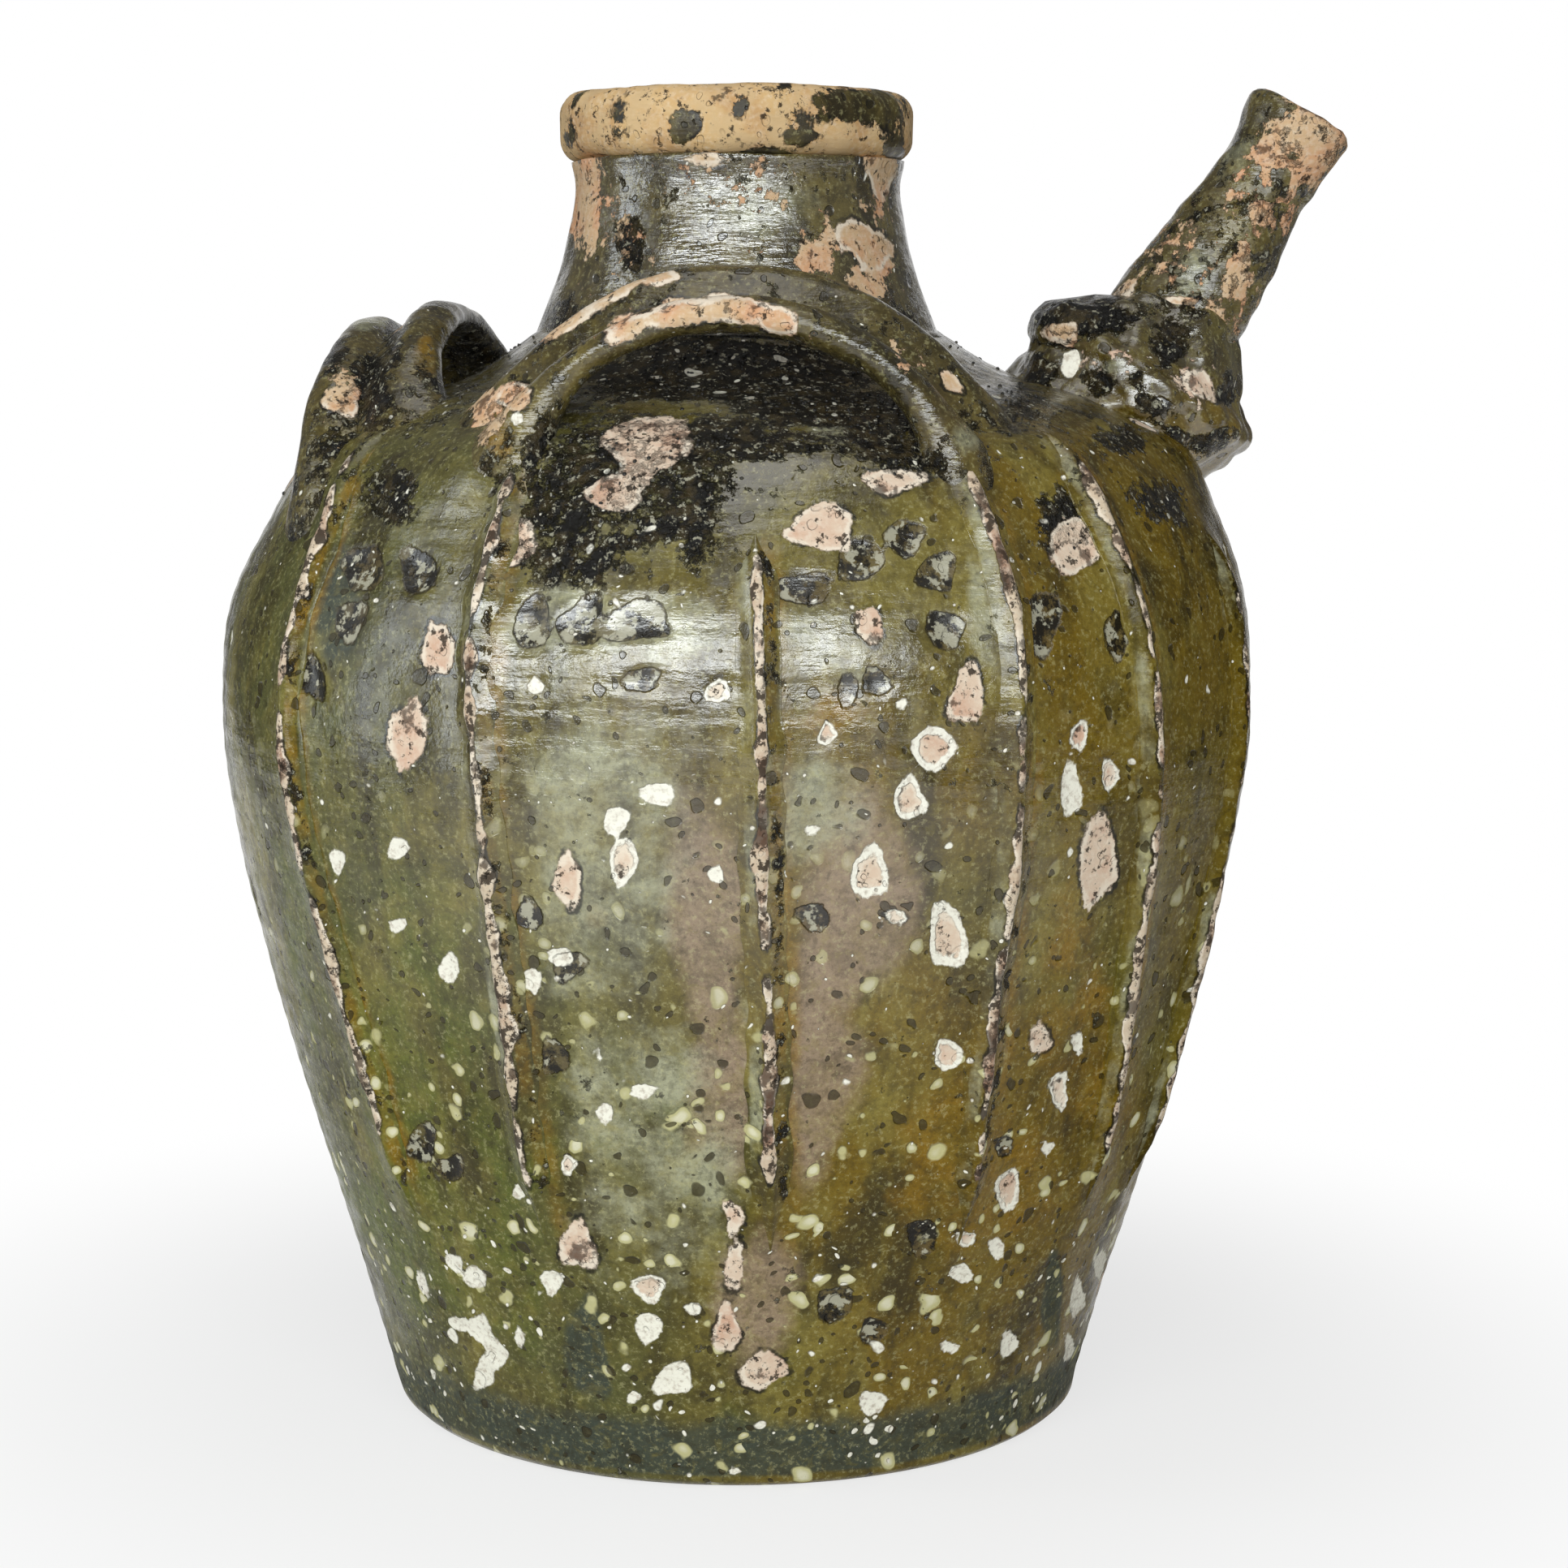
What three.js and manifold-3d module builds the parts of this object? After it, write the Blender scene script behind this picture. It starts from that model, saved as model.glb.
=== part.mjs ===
// Ceramic oil jar: a thrown body with a neck, a rolled rim, a pouring spout, three strap handles
// and raised strips, each a piece of clay luted to its neighbour.
// Millimetres, +Z up. The origin is the middle of the foot, on the jar's axis.
// The spout points to +X, and the front of the jar is at -Y.

import * as THREE from 'three';
import { mergeVertices } from 'three/addons/utils/BufferGeometryUtils.js';
import Module from 'manifold-3d';

const wasm = await Module();
wasm.setup();

// Gap left at each luted joint
const JOINT_GAP = 0.3;

// Body, outside: each station is a radius and its rise above the station below
const FOOT_EDGE_INSET = 6.2;
const FOOT_EDGE_RADIUS = 108.2;
const FOOT_EDGE_RISE = 5.5;
const LOWER_WALL_RADIUS = 119.5;
const LOWER_WALL_RISE = 41.5;
const MIDDLE_WALL_RADIUS = 138;
const MIDDLE_WALL_RISE = 63;
const UPPER_WALL_RADIUS = 154.5;
const UPPER_WALL_RISE = 71;
const BELLY_RADIUS = 158.2;
const BELLY_RISE = 36;
const OVER_BELLY_RADIUS = 154.6;
const OVER_BELLY_RISE = 32;
const HIGH_BELLY_RADIUS = 144.5;
const HIGH_BELLY_RISE = 24;
const SHOULDER_TURN_RADIUS = 130;
const SHOULDER_TURN_RISE = 22.5;
const SHOULDER_RADIUS = 108;
const SHOULDER_RISE = 13.5;
const SHOULDER_TOP_RADIUS = 82;
const SHOULDER_TOP_RISE = 8.5;
const NECK_ROOT_RADIUS = 61.5;
const NECK_ROOT_RISE = 13;

// Body, inside
const WALL = 10;
const FLOOR = 14;
const FLOOR_FILLET = 10;

// Neck collar, standing on the neck root
const NECK_FLARE_RADIUS = 54.5;
const NECK_FLARE_RISE = 18.5;
const NECK_WAIST_RADIUS = 49.4;
const NECK_WAIST_RISE = 25;
const NECK_TOP_RADIUS = 50.6;
const NECK_TOP_RISE = 7.5;
const NECK_WALL = 10;

// Rolled rim on top of the neck
const RIM_OVERHANG = 3.2;
const RIM_HEIGHT = 20;
const RIM_ROUND = 6.5;
const MOUTH_LIP = 2.6;

// Spout: its axis meets the shoulder at the root radius
const SPOUT_ROOT_RADIUS = 119;
const SPOUT_LEAN = THREE.MathUtils.degToRad(30);
const SPOUT_LENGTH = 107;
const SPOUT_FOOT_RADIUS = 18;
const SPOUT_WAIST_RADIUS = 15;
const SPOUT_LIP_RADIUS = 16.8;
const SPOUT_LIP_FLARE = 20;
const SPOUT_LIP_ROUND = 3;
const SPOUT_LIP_INSET = 1.5;
const SPOUT_BORE_RADIUS = 9;
const SPOUT_SUNK = 30;

// Socket: a bell round the spout's root
const SOCKET_HEIGHT = 40;
const SOCKET_BELL_RADIUS = 36;
const SOCKET_BELL_HEIGHT = 13;
const SOCKET_TOP_WALL = 1.4;
const SOCKET_MID_RISE_SHARE = 1 / 3;
const SOCKET_MID_WIDTH_SHARE = 1 / 2;
const SOCKET_SUNK = 22;

// Lug between the neck and the spout
const LUG_INNER_RADIUS = 89;
const LUG_LENGTH = 42;
const LUG_WIDTH = 46;
const LUG_RISE = 26.5;
const LUG_SUNK = 20;
const LUG_CROWN = 6;
const LUG_GROOVE_DEPTH = 2;
const LUG_GROOVE_DROP = 9;
const LUG_END_ROUND = 11;

// Strap handles: an arch of two ridges with a channel between them, risen above the shoulder
const STRAP_RADIUS = 100;
const STRAP_RIDGE_SPACING = 22;
const STRAP_RIDGE_WIDTH = 14.6;
const STRAP_RIDGE_THICKNESS = 11.6;
const STRAP_RIDGE_STEP = 5;
const STRAP_CHANNEL_ANGLE = THREE.MathUtils.degToRad(10);
const STRAP_WEB_ANGLE = THREE.MathUtils.degToRad(30);
const ARCH_RADIUS = 72;
const ARCH_SPREAD = THREE.MathUtils.degToRad(80);
const ARCH_LEG = 36;
const FRONT_HANDLE_RISE = 24.6;
const LEFT_HANDLE_RISE = 20.4;
const BACK_HANDLE_RISE = 23;
const HANDLES = [
  { name: 'handle_front', azimuth: -0.5, skew: 4, rise: FRONT_HANDLE_RISE },
  { name: 'handle_left', azimuth: -92, skew: 7, rise: LEFT_HANDLE_RISE },
  { name: 'handle_back', azimuth: 180, skew: 5, rise: BACK_HANDLE_RISE },
];

// Strips: each starts at a drop below the neck root, and leans from one azimuth to another.
// Azimuths are degrees from the front, positive towards the spout.
const STRIP_WIDTH = 10;
const STRIP_HEIGHT = 4.2;
const STRIP_CREST_WIDTH = 2.4;
const STRIP_ROOT = 4;
const STRIP_BOTTOM = 72;
const STRIP_END_SINK = 3.4;
const STRIP_END_POWER = 8;
const HANDLE_MIDDLE_DROP = 55.5;
const HANDLE_FOOT_DROP = 46.5;
const SPOUT_FRONT_DROP = 30.5;
const SPOUT_SIDE_DROP = 60.5;
const SPOUT_BACK_DROP = 34.5;
const LEFT_BACK_DROP = 42.5;
const LEFT_FRONT_DROP = 40.5;
const STRIPS = [
  { drop: HANDLE_MIDDLE_DROP, from: 1.5, to: 4 },
  { drop: HANDLE_FOOT_DROP, from: 27.3, to: 28.8 },
  { drop: SPOUT_FRONT_DROP, from: 42.5, to: 51.5 },
  { drop: SPOUT_SIDE_DROP, from: 66, to: 63.5 },
  { drop: SPOUT_SIDE_DROP, from: 114, to: 113 },
  { drop: SPOUT_BACK_DROP, from: 132, to: 128 },
  { drop: HANDLE_FOOT_DROP, from: 151, to: 152 },
  { drop: HANDLE_MIDDLE_DROP, from: 180, to: 181 },
  { drop: HANDLE_FOOT_DROP, from: 209, to: 208 },
  { drop: LEFT_BACK_DROP, from: 238, to: 242 },
  { drop: LEFT_FRONT_DROP, from: 305.5, to: 314 },
  { drop: HANDLE_FOOT_DROP, from: 333.3, to: 335.8 },
];

// Facets
const BODY_SIDES = 40;
const BODY_ROWS = 20;
const BODY_INNER_ROWS = 11;
const NECK_SIDES = 40;
const NECK_ROWS = 7;
const RIM_SIDES = 40;
const RIM_ARC_STEPS = 2;
const SPOUT_SIDES = 24;
const SPOUT_ROWS = 8;
const SOCKET_SIDES = 28;
const SOCKET_ROWS = 8;
const LUG_ARC_STEPS = 2;
const ARCH_STEPS = 16;
const RIDGE_ARC_STEPS = 4;
const STRIP_STEPS = 12;
const WELD = 1e-4;
const BISECTIONS = 24;

// Finishes
const OLIVE_GLAZE = { color: 0x6b6a2c, roughness: 0.25, metalness: 0 };
const DARK_GLAZE = { color: 0x3d3a24, roughness: 0.35, metalness: 0 };
const BARE_CLAY = { color: 0xb08a62, roughness: 0.85, metalness: 0 };

// A closed solid from a geometry: shared corners are welded and flattened triangles dropped.
function solid(geometry) {
  const bare = geometry.clone();
  bare.deleteAttribute('normal');
  bare.deleteAttribute('uv');
  const welded = mergeVertices(bare, WELD);
  const index = welded.index.array;
  const corners = [];
  for (let i = 0; i < index.length; i += 3) {
    const [a, b, c] = [index[i], index[i + 1], index[i + 2]];
    if (a !== b && b !== c && c !== a) corners.push(a, b, c);
  }
  return new wasm.Manifold(new wasm.Mesh({
    numProp: 3,
    vertProperties: new Float32Array(welded.attributes.position.array),
    triVerts: new Uint32Array(corners),
  }));
}

// A named mesh from a closed solid.
function piece(name, body, finish) {
  const { numProp, vertProperties, triVerts } = body.getMesh();
  const position = new Float32Array((vertProperties.length / numProp) * 3);
  for (let i = 0; i < position.length; i += 1) {
    position[i] = vertProperties[Math.floor(i / 3) * numProp + (i % 3)];
  }
  const geometry = new THREE.BufferGeometry();
  geometry.setAttribute('position', new THREE.BufferAttribute(position, 3));
  geometry.setIndex(Array.from(triVerts));
  geometry.computeVertexNormals();
  const mesh = new THREE.Mesh(geometry, new THREE.MeshStandardMaterial(finish));
  mesh.name = name;
  return mesh;
}

// A profile of radius and height, turned about +Z. It runs anticlockwise: up the outside, down the inside.
function turned(profile, sides) {
  return new THREE.LatheGeometry(profile, sides).rotateX(Math.PI / 2);
}

// A smooth curve of radius and height through stations given as a radius and a rise.
function smoothProfile(stations, startHeight) {
  let height = startHeight;
  const points = stations.map(([radius, rise]) => {
    height += rise;
    return new THREE.Vector3(radius, 0, height);
  });
  return new THREE.CatmullRomCurve3(points, false, 'centripetal');
}

// The curve's points, moved out along its normal by an offset.
function offsetPoints(curve, rows, offset) {
  return Array.from({ length: rows + 1 }, (_, row) => {
    const at = curve.getPointAt(row / rows);
    const along = curve.getTangentAt(row / rows);
    return new THREE.Vector2(at.x + along.z * offset, at.z - along.x * offset);
  });
}

// Where along the body's outside a test first fails, going up from one place to the top.
function bodyPlace(from, test) {
  let [low, high] = [from, 1];
  for (let i = 0; i < BISECTIONS; i += 1) {
    const middle = (low + high) / 2;
    if (test(bodyCurve.getPointAt(middle))) low = middle;
    else high = middle;
  }
  return low;
}

function placeAtHeight(height) {
  return bodyPlace(0, (point) => point.z < height);
}

function shoulderHeight(radius) {
  const place = bodyPlace(placeAtHeight(bellyHeight), (point) => point.x > radius);
  return bodyCurve.getPointAt(place).z;
}

// An azimuth from the front as a turn about +Z of something built along +X.
function turnFor(azimuth) {
  return THREE.MathUtils.degToRad(azimuth - 90);
}

// Body
const bodyCurve = smoothProfile([
  [FOOT_EDGE_RADIUS, FOOT_EDGE_RISE],
  [LOWER_WALL_RADIUS, LOWER_WALL_RISE],
  [MIDDLE_WALL_RADIUS, MIDDLE_WALL_RISE],
  [UPPER_WALL_RADIUS, UPPER_WALL_RISE],
  [BELLY_RADIUS, BELLY_RISE],
  [OVER_BELLY_RADIUS, OVER_BELLY_RISE],
  [HIGH_BELLY_RADIUS, HIGH_BELLY_RISE],
  [SHOULDER_TURN_RADIUS, SHOULDER_TURN_RISE],
  [SHOULDER_RADIUS, SHOULDER_RISE],
  [SHOULDER_TOP_RADIUS, SHOULDER_TOP_RISE],
  [NECK_ROOT_RADIUS, NECK_ROOT_RISE],
], 0);
const neckRootHeight = bodyCurve.points.at(-1).z;
const bellyHeight = FOOT_EDGE_RISE + LOWER_WALL_RISE + MIDDLE_WALL_RISE + UPPER_WALL_RISE + BELLY_RISE;

function bodySolid() {
  const outside = offsetPoints(bodyCurve, BODY_ROWS, 0);
  const inside = offsetPoints(bodyCurve, BODY_INNER_ROWS, -WALL)
    .filter((point) => point.y > FLOOR + FLOOR_FILLET && point.y < neckRootHeight - WALL / 2)
    .reverse();
  const floorCorner = inside.at(-1).x;
  return solid(turned([
    new THREE.Vector2(0, 0),
    new THREE.Vector2(FOOT_EDGE_RADIUS - FOOT_EDGE_INSET, 0),
    ...outside,
    new THREE.Vector2(NECK_ROOT_RADIUS - WALL, neckRootHeight),
    ...inside,
    new THREE.Vector2(floorCorner - FLOOR_FILLET, FLOOR),
    new THREE.Vector2(0, FLOOR),
  ], BODY_SIDES)).subtract(spoutBore());
}

// The body's outside grown by the joint gap, without its hollow: what a luted piece is cut back to.
function seatSolid() {
  return solid(turned([
    new THREE.Vector2(0, 0),
    ...offsetPoints(bodyCurve, BODY_ROWS, JOINT_GAP),
    new THREE.Vector2(0, neckRootHeight + JOINT_GAP),
  ], BODY_SIDES));
}

// Neck and rim
const neckBase = neckRootHeight + JOINT_GAP;
const neckCurve = smoothProfile([
  [NECK_ROOT_RADIUS, 0],
  [NECK_FLARE_RADIUS, NECK_FLARE_RISE],
  [NECK_WAIST_RADIUS, NECK_WAIST_RISE],
  [NECK_TOP_RADIUS, NECK_TOP_RISE],
], neckBase);
const neckTop = neckCurve.points.at(-1).z;

function neckSolid() {
  const outside = offsetPoints(neckCurve, NECK_ROWS, 0);
  const inside = outside.map((point) => new THREE.Vector2(point.x - NECK_WALL, point.y)).reverse();
  return solid(turned([...outside, ...inside, outside[0]], NECK_SIDES));
}

function rimSolid() {
  const base = neckTop + JOINT_GAP;
  const crown = base + RIM_HEIGHT - RIM_ROUND;
  const mouth = NECK_TOP_RADIUS - NECK_WALL - MOUTH_LIP;
  const outer = NECK_TOP_RADIUS + RIM_OVERHANG - RIM_ROUND;
  const rim = new THREE.Shape();
  rim.moveTo(mouth, base);
  rim.lineTo(outer, base);
  rim.absarc(outer, base + RIM_ROUND, RIM_ROUND, -Math.PI / 2, 0);
  rim.absarc(outer, crown, RIM_ROUND, 0, Math.PI / 2);
  rim.absarc(mouth + RIM_ROUND, crown, RIM_ROUND, Math.PI / 2, Math.PI);
  rim.lineTo(mouth, base);
  return solid(turned(rim.getPoints(RIM_ARC_STEPS), RIM_SIDES));
}

// Spout: built along +Z from its root, then leaned towards +X
function onSpout(geometry) {
  return geometry.rotateY(SPOUT_LEAN).translate(SPOUT_ROOT_RADIUS, 0, shoulderHeight(SPOUT_ROOT_RADIUS));
}

const spoutCurve = smoothProfile([
  [SPOUT_FOOT_RADIUS, 0],
  [SPOUT_FOOT_RADIUS, SPOUT_SUNK + SOCKET_HEIGHT],
  [SPOUT_WAIST_RADIUS, SPOUT_LENGTH - SOCKET_HEIGHT - SPOUT_LIP_FLARE],
  [SPOUT_LIP_RADIUS, SPOUT_LIP_FLARE - SPOUT_LIP_ROUND],
], -SPOUT_SUNK);

function spoutProfile(gap) {
  const outside = offsetPoints(spoutCurve, SPOUT_ROWS, gap);
  const lip = new THREE.Vector2(SPOUT_LIP_RADIUS - SPOUT_LIP_INSET + gap, SPOUT_LENGTH + gap);
  return [...outside, lip];
}

// The spout's outside, unbored and grown by a gap
function spoutOutside(gap) {
  const profile = spoutProfile(gap);
  const top = new THREE.Vector2(0, profile.at(-1).y);
  const foot = new THREE.Vector2(0, profile[0].y);
  return solid(onSpout(turned([foot, ...profile, top], SPOUT_SIDES)));
}

function spoutBore() {
  const bore = new THREE.CylinderGeometry(
    SPOUT_BORE_RADIUS, SPOUT_BORE_RADIUS, 2 * (SPOUT_LENGTH + SPOUT_SUNK), SPOUT_SIDES);
  return solid(onSpout(bore.rotateX(Math.PI / 2)));
}

// Socket: a bell that swells below its top and tucks in again at the shoulder, grown by a gap
function socketOutside(gap) {
  const topRadius = SPOUT_FOOT_RADIUS + SOCKET_TOP_WALL;
  const slope = SOCKET_HEIGHT - SOCKET_BELL_HEIGHT;
  const midRise = slope * SOCKET_MID_RISE_SHARE;
  const bell = smoothProfile([
    [SPOUT_FOOT_RADIUS, 0],
    [SOCKET_BELL_RADIUS, SOCKET_SUNK + SOCKET_BELL_HEIGHT],
    [THREE.MathUtils.lerp(topRadius, SOCKET_BELL_RADIUS, SOCKET_MID_WIDTH_SHARE), midRise],
    [topRadius, slope - midRise],
  ], -SOCKET_SUNK);
  const outside = offsetPoints(bell, SOCKET_ROWS, gap);
  const foot = new THREE.Vector2(0, outside[0].y);
  const top = new THREE.Vector2(0, outside.at(-1).y);
  return solid(onSpout(turned([foot, ...outside, top], SOCKET_SIDES)));
}

// Lug: a crowned block with one groove along each side, run out from the neck's side to the spout
function lugSolid(gap) {
  const shoulder = shoulderHeight(LUG_INNER_RADIUS);
  const half = LUG_WIDTH / 2 - LUG_END_ROUND + gap;
  const crown = shoulder + LUG_RISE - LUG_END_ROUND + gap;
  const groove = crown - LUG_GROOVE_DROP;
  const section = new THREE.Shape();
  section.moveTo(-half, shoulder - LUG_SUNK);
  section.lineTo(half, shoulder - LUG_SUNK);
  section.lineTo(half, groove - LUG_GROOVE_DEPTH);
  section.lineTo(half - LUG_GROOVE_DEPTH, groove);
  section.lineTo(half, groove + LUG_GROOVE_DEPTH);
  section.quadraticCurveTo(half, crown, half - LUG_CROWN, crown);
  section.lineTo(LUG_CROWN - half, crown);
  section.quadraticCurveTo(-half, crown, -half, groove + LUG_GROOVE_DEPTH);
  section.lineTo(LUG_GROOVE_DEPTH - half, groove);
  section.lineTo(-half, groove - LUG_GROOVE_DEPTH);
  const run = new THREE.ExtrudeGeometry(section, {
    depth: LUG_LENGTH - 2 * LUG_END_ROUND,
    curveSegments: LUG_ARC_STEPS,
    bevelThickness: LUG_END_ROUND + gap,
    bevelSize: LUG_END_ROUND,
    bevelSegments: LUG_ARC_STEPS,
  });
  run.rotateX(Math.PI / 2).rotateZ(Math.PI / 2);
  return solid(run.translate(LUG_INNER_RADIUS + LUG_END_ROUND, 0, 0));
}

// Strap section: across the strap towards the jar's axis, and out of the arch
function strapSection(gap) {
  const centre = STRAP_RIDGE_SPACING / 2;
  const step = STRAP_RIDGE_STEP / 2;
  const halfWidth = STRAP_RIDGE_WIDTH / 2 + gap;
  const halfThick = STRAP_RIDGE_THICKNESS / 2 + gap;
  const under = 1.5 * Math.PI;
  const inner = 3 * Math.PI - STRAP_CHANNEL_ANGLE;
  const section = new THREE.Shape();
  section.absellipse(-centre, -step, halfWidth, halfThick, STRAP_CHANNEL_ANGLE, under + STRAP_WEB_ANGLE);
  section.absellipse(centre, step, halfWidth, halfThick, under - STRAP_WEB_ANGLE, inner);
  section.closePath();
  return section;
}

// Strap path: an arch across the jar's radius, running straight on into both legs
class ArchCurve extends THREE.Curve {
  constructor(top) {
    super();
    this.centre = top - ARCH_RADIUS;
    this.length = 2 * (ARCH_SPREAD * ARCH_RADIUS + ARCH_LEG);
  }

  getPoint(t, target = new THREE.Vector3()) {
    const run = (t - 0.5) * this.length;
    const angle = THREE.MathUtils.clamp(run / ARCH_RADIUS, -ARCH_SPREAD, ARCH_SPREAD);
    const past = run - angle * ARCH_RADIUS;
    const across = ARCH_RADIUS * Math.sin(angle) + past * Math.cos(angle);
    const height = this.centre + ARCH_RADIUS * Math.cos(angle) - past * Math.sin(angle);
    return target.set(0, across, height);
  }
}

function strapSolid({ azimuth, skew, rise }, gap) {
  const strap = new THREE.ExtrudeGeometry(strapSection(gap), {
    steps: ARCH_STEPS,
    curveSegments: RIDGE_ARC_STEPS,
    extrudePath: new ArchCurve(shoulderHeight(STRAP_RADIUS) + rise),
  });
  strap.rotateZ(-THREE.MathUtils.degToRad(skew)).translate(STRAP_RADIUS, 0, 0);
  return solid(strap.rotateZ(turnFor(azimuth)));
}

// A strip's path down the body's outside, leaning from one azimuth to another and sunk at both ends
class StripCurve extends THREE.Curve {
  constructor({ drop, from, to }) {
    super();
    this.top = placeAtHeight(neckRootHeight - drop);
    this.bottom = placeAtHeight(STRIP_BOTTOM);
    this.lean = THREE.MathUtils.degToRad(to - from);
  }

  getPoint(t, target = new THREE.Vector3()) {
    const u = THREE.MathUtils.lerp(this.top, this.bottom, t);
    const at = bodyCurve.getPointAt(u);
    const along = bodyCurve.getTangentAt(u);
    const sink = STRIP_END_SINK * Math.abs(2 * t - 1) ** STRIP_END_POWER;
    const radius = at.x - along.z * sink;
    const height = at.z + along.x * sink;
    return target.set(radius * Math.cos(this.lean * t), radius * Math.sin(this.lean * t), height);
  }
}

function stripSolid(strip, gap) {
  const foot = STRIP_WIDTH / 2 + gap;
  const crest = STRIP_CREST_WIDTH / 2 + gap;
  const section = new THREE.Shape();
  section.moveTo(-foot, STRIP_ROOT);
  section.lineTo(-foot, 0);
  section.lineTo(-crest, -STRIP_HEIGHT - gap);
  section.lineTo(crest, -STRIP_HEIGHT - gap);
  section.lineTo(foot, 0);
  section.lineTo(foot, STRIP_ROOT);
  const run = new THREE.ExtrudeGeometry(section, { steps: STRIP_STEPS, extrudePath: new StripCurve(strip) });
  return solid(run.rotateZ(turnFor(strip.from)));
}

// The main run of a piece that its neighbours cut across
function mainRun(body) {
  return body.decompose().reduce((main, run) => (run.volume() > main.volume() ? run : main));
}

// Assembly
const jar = new THREE.Group();
jar.add(piece('jar_body', bodySolid(), OLIVE_GLAZE));
jar.add(piece('neck_collar', neckSolid(), DARK_GLAZE));
jar.add(piece('rim_band', rimSolid(), BARE_CLAY));

// Each piece luted to the body is cut back to the body and to the pieces laid before it.
const laid = [seatSolid()];

function lute(name, shape, room, finish) {
  const cut = laid.reduce((body, neighbour) => body.subtract(neighbour), shape);
  jar.add(piece(name, mainRun(cut), finish));
  laid.push(room);
}

lute('spout_tube', spoutOutside(0).subtract(spoutBore()), spoutOutside(JOINT_GAP), DARK_GLAZE);
lute('spout_lug', lugSolid(0), lugSolid(JOINT_GAP), DARK_GLAZE);
lute('spout_socket', socketOutside(0), socketOutside(JOINT_GAP), OLIVE_GLAZE);
for (const handle of HANDLES) {
  lute(handle.name, strapSolid(handle, 0), strapSolid(handle, JOINT_GAP), DARK_GLAZE);
}
STRIPS.forEach((strip, i) => {
  const name = `strip_${String(i + 1).padStart(2, '0')}`;
  lute(name, stripSolid(strip, 0), stripSolid(strip, JOINT_GAP), OLIVE_GLAZE);
});

export default jar;
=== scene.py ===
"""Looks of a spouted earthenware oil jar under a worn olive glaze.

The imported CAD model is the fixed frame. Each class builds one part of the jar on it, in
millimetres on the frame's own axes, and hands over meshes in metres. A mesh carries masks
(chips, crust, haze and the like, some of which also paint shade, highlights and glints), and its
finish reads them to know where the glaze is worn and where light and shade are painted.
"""

import logging
import math
from dataclasses import dataclass, replace
from enum import Enum
from functools import cache

import bpy
import numpy as np
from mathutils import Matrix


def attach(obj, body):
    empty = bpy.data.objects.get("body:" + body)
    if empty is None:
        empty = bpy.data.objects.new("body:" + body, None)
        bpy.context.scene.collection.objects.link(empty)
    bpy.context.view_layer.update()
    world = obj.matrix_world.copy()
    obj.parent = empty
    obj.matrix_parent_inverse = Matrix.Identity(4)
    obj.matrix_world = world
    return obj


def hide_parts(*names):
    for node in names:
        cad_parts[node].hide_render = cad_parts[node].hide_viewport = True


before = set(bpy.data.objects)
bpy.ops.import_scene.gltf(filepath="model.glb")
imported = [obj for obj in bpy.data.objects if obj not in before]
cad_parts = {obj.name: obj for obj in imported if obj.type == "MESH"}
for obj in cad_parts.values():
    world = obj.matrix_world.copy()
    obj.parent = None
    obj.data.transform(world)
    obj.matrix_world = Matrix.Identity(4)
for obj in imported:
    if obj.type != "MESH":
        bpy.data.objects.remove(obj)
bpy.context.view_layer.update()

Array = np.ndarray
Piece = bpy.types.Object
Socket = bpy.types.NodeSocket
Colour = tuple[float, float, float, float]
Stations = tuple[tuple[float, float], ...]

LOG = logging.getLogger("oil_jar")
MM = 0.001
BODY = "root"


class Slot(Enum):
    """Material slots, one for each kind of finish."""

    OLIVE = "olive_glaze"
    DARK = "dark_glaze"
    CLAY = "bare_clay"


class Mask(Enum):
    """The masks that a mesh carries for its finish, each from 0 to 1 at a vertex."""

    SLIP = "slip"
    CLAY = "clay"
    PIT = "pit"
    # Black crust; also painted shade under the front handle and beside the strips.
    SOOT = "soot"
    HAZE = "haze"
    # Paler glaze tint that mostly paints sheen and reflections.
    MILK = "milk"
    AMBER = "amber"
    # White slip specks, also used as painted glints.
    SPECK = "speck"
    WEAR = "wear"
    FILM = "film"


class Spot(Enum):
    """What a mark does to the glaze."""

    SLIP = "white slip laid bare"
    CORED = "white slip round a core of clay"
    CLAY = "clay laid bare"
    PIT = "dark pit"
    # Both crust marks also paint the deep shade under the front handle's arch.
    SOOT = "broken black crust"
    BLACK = "solid black crust"
    HAZE = "mauve haze"
    # Mostly painted sheen and reflections on the glaze, partly a paler glaze.
    MILK = "milky blue-grey glaze"
    # Brown glaze tint; its mask also carries painted shade beside the strips.
    AMBER = "amber glaze"
    WEAR = "scattered flecks of bare clay"
    BARE = "mostly bare clay"
    # A dull grey layer; one mark of it paints a bluish reflection.
    FILM = "dull grey film"
    GLAZE = "glaze left on bare clay"


BROAD_LEVELS = {
    Spot.SOOT: (Mask.SOOT, 0.72),
    Spot.BLACK: (Mask.SOOT, 1.0),
    Spot.HAZE: (Mask.HAZE, 0.74),
    Spot.MILK: (Mask.MILK, 0.58),
    Spot.AMBER: (Mask.AMBER, 0.6),
    Spot.WEAR: (Mask.WEAR, 0.44),
    Spot.BARE: (Mask.WEAR, 0.8),
    Spot.FILM: (Mask.FILM, 1.0),
}
CHIP_MASKS = {Spot.SLIP: Mask.SLIP, Spot.CORED: Mask.SLIP, Spot.CLAY: Mask.CLAY, Spot.PIT: Mask.PIT}


@dataclass(frozen=True)
class Mark:
    """A spot placed by its middle and its size in the photograph's pixels, turned in degrees."""

    kind: Spot
    x: float
    y: float
    width: float
    height: float
    turn: float = 0.0


def marks(places: dict[Spot, tuple[tuple[int, ...], ...]]) -> tuple[Mark, ...]:
    """Lists marks kind by kind: the photo's pixel x and y, width, height and a turn in degrees, if any."""
    return tuple(Mark(kind, *place) for kind, group in places.items() for place in group)


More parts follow.
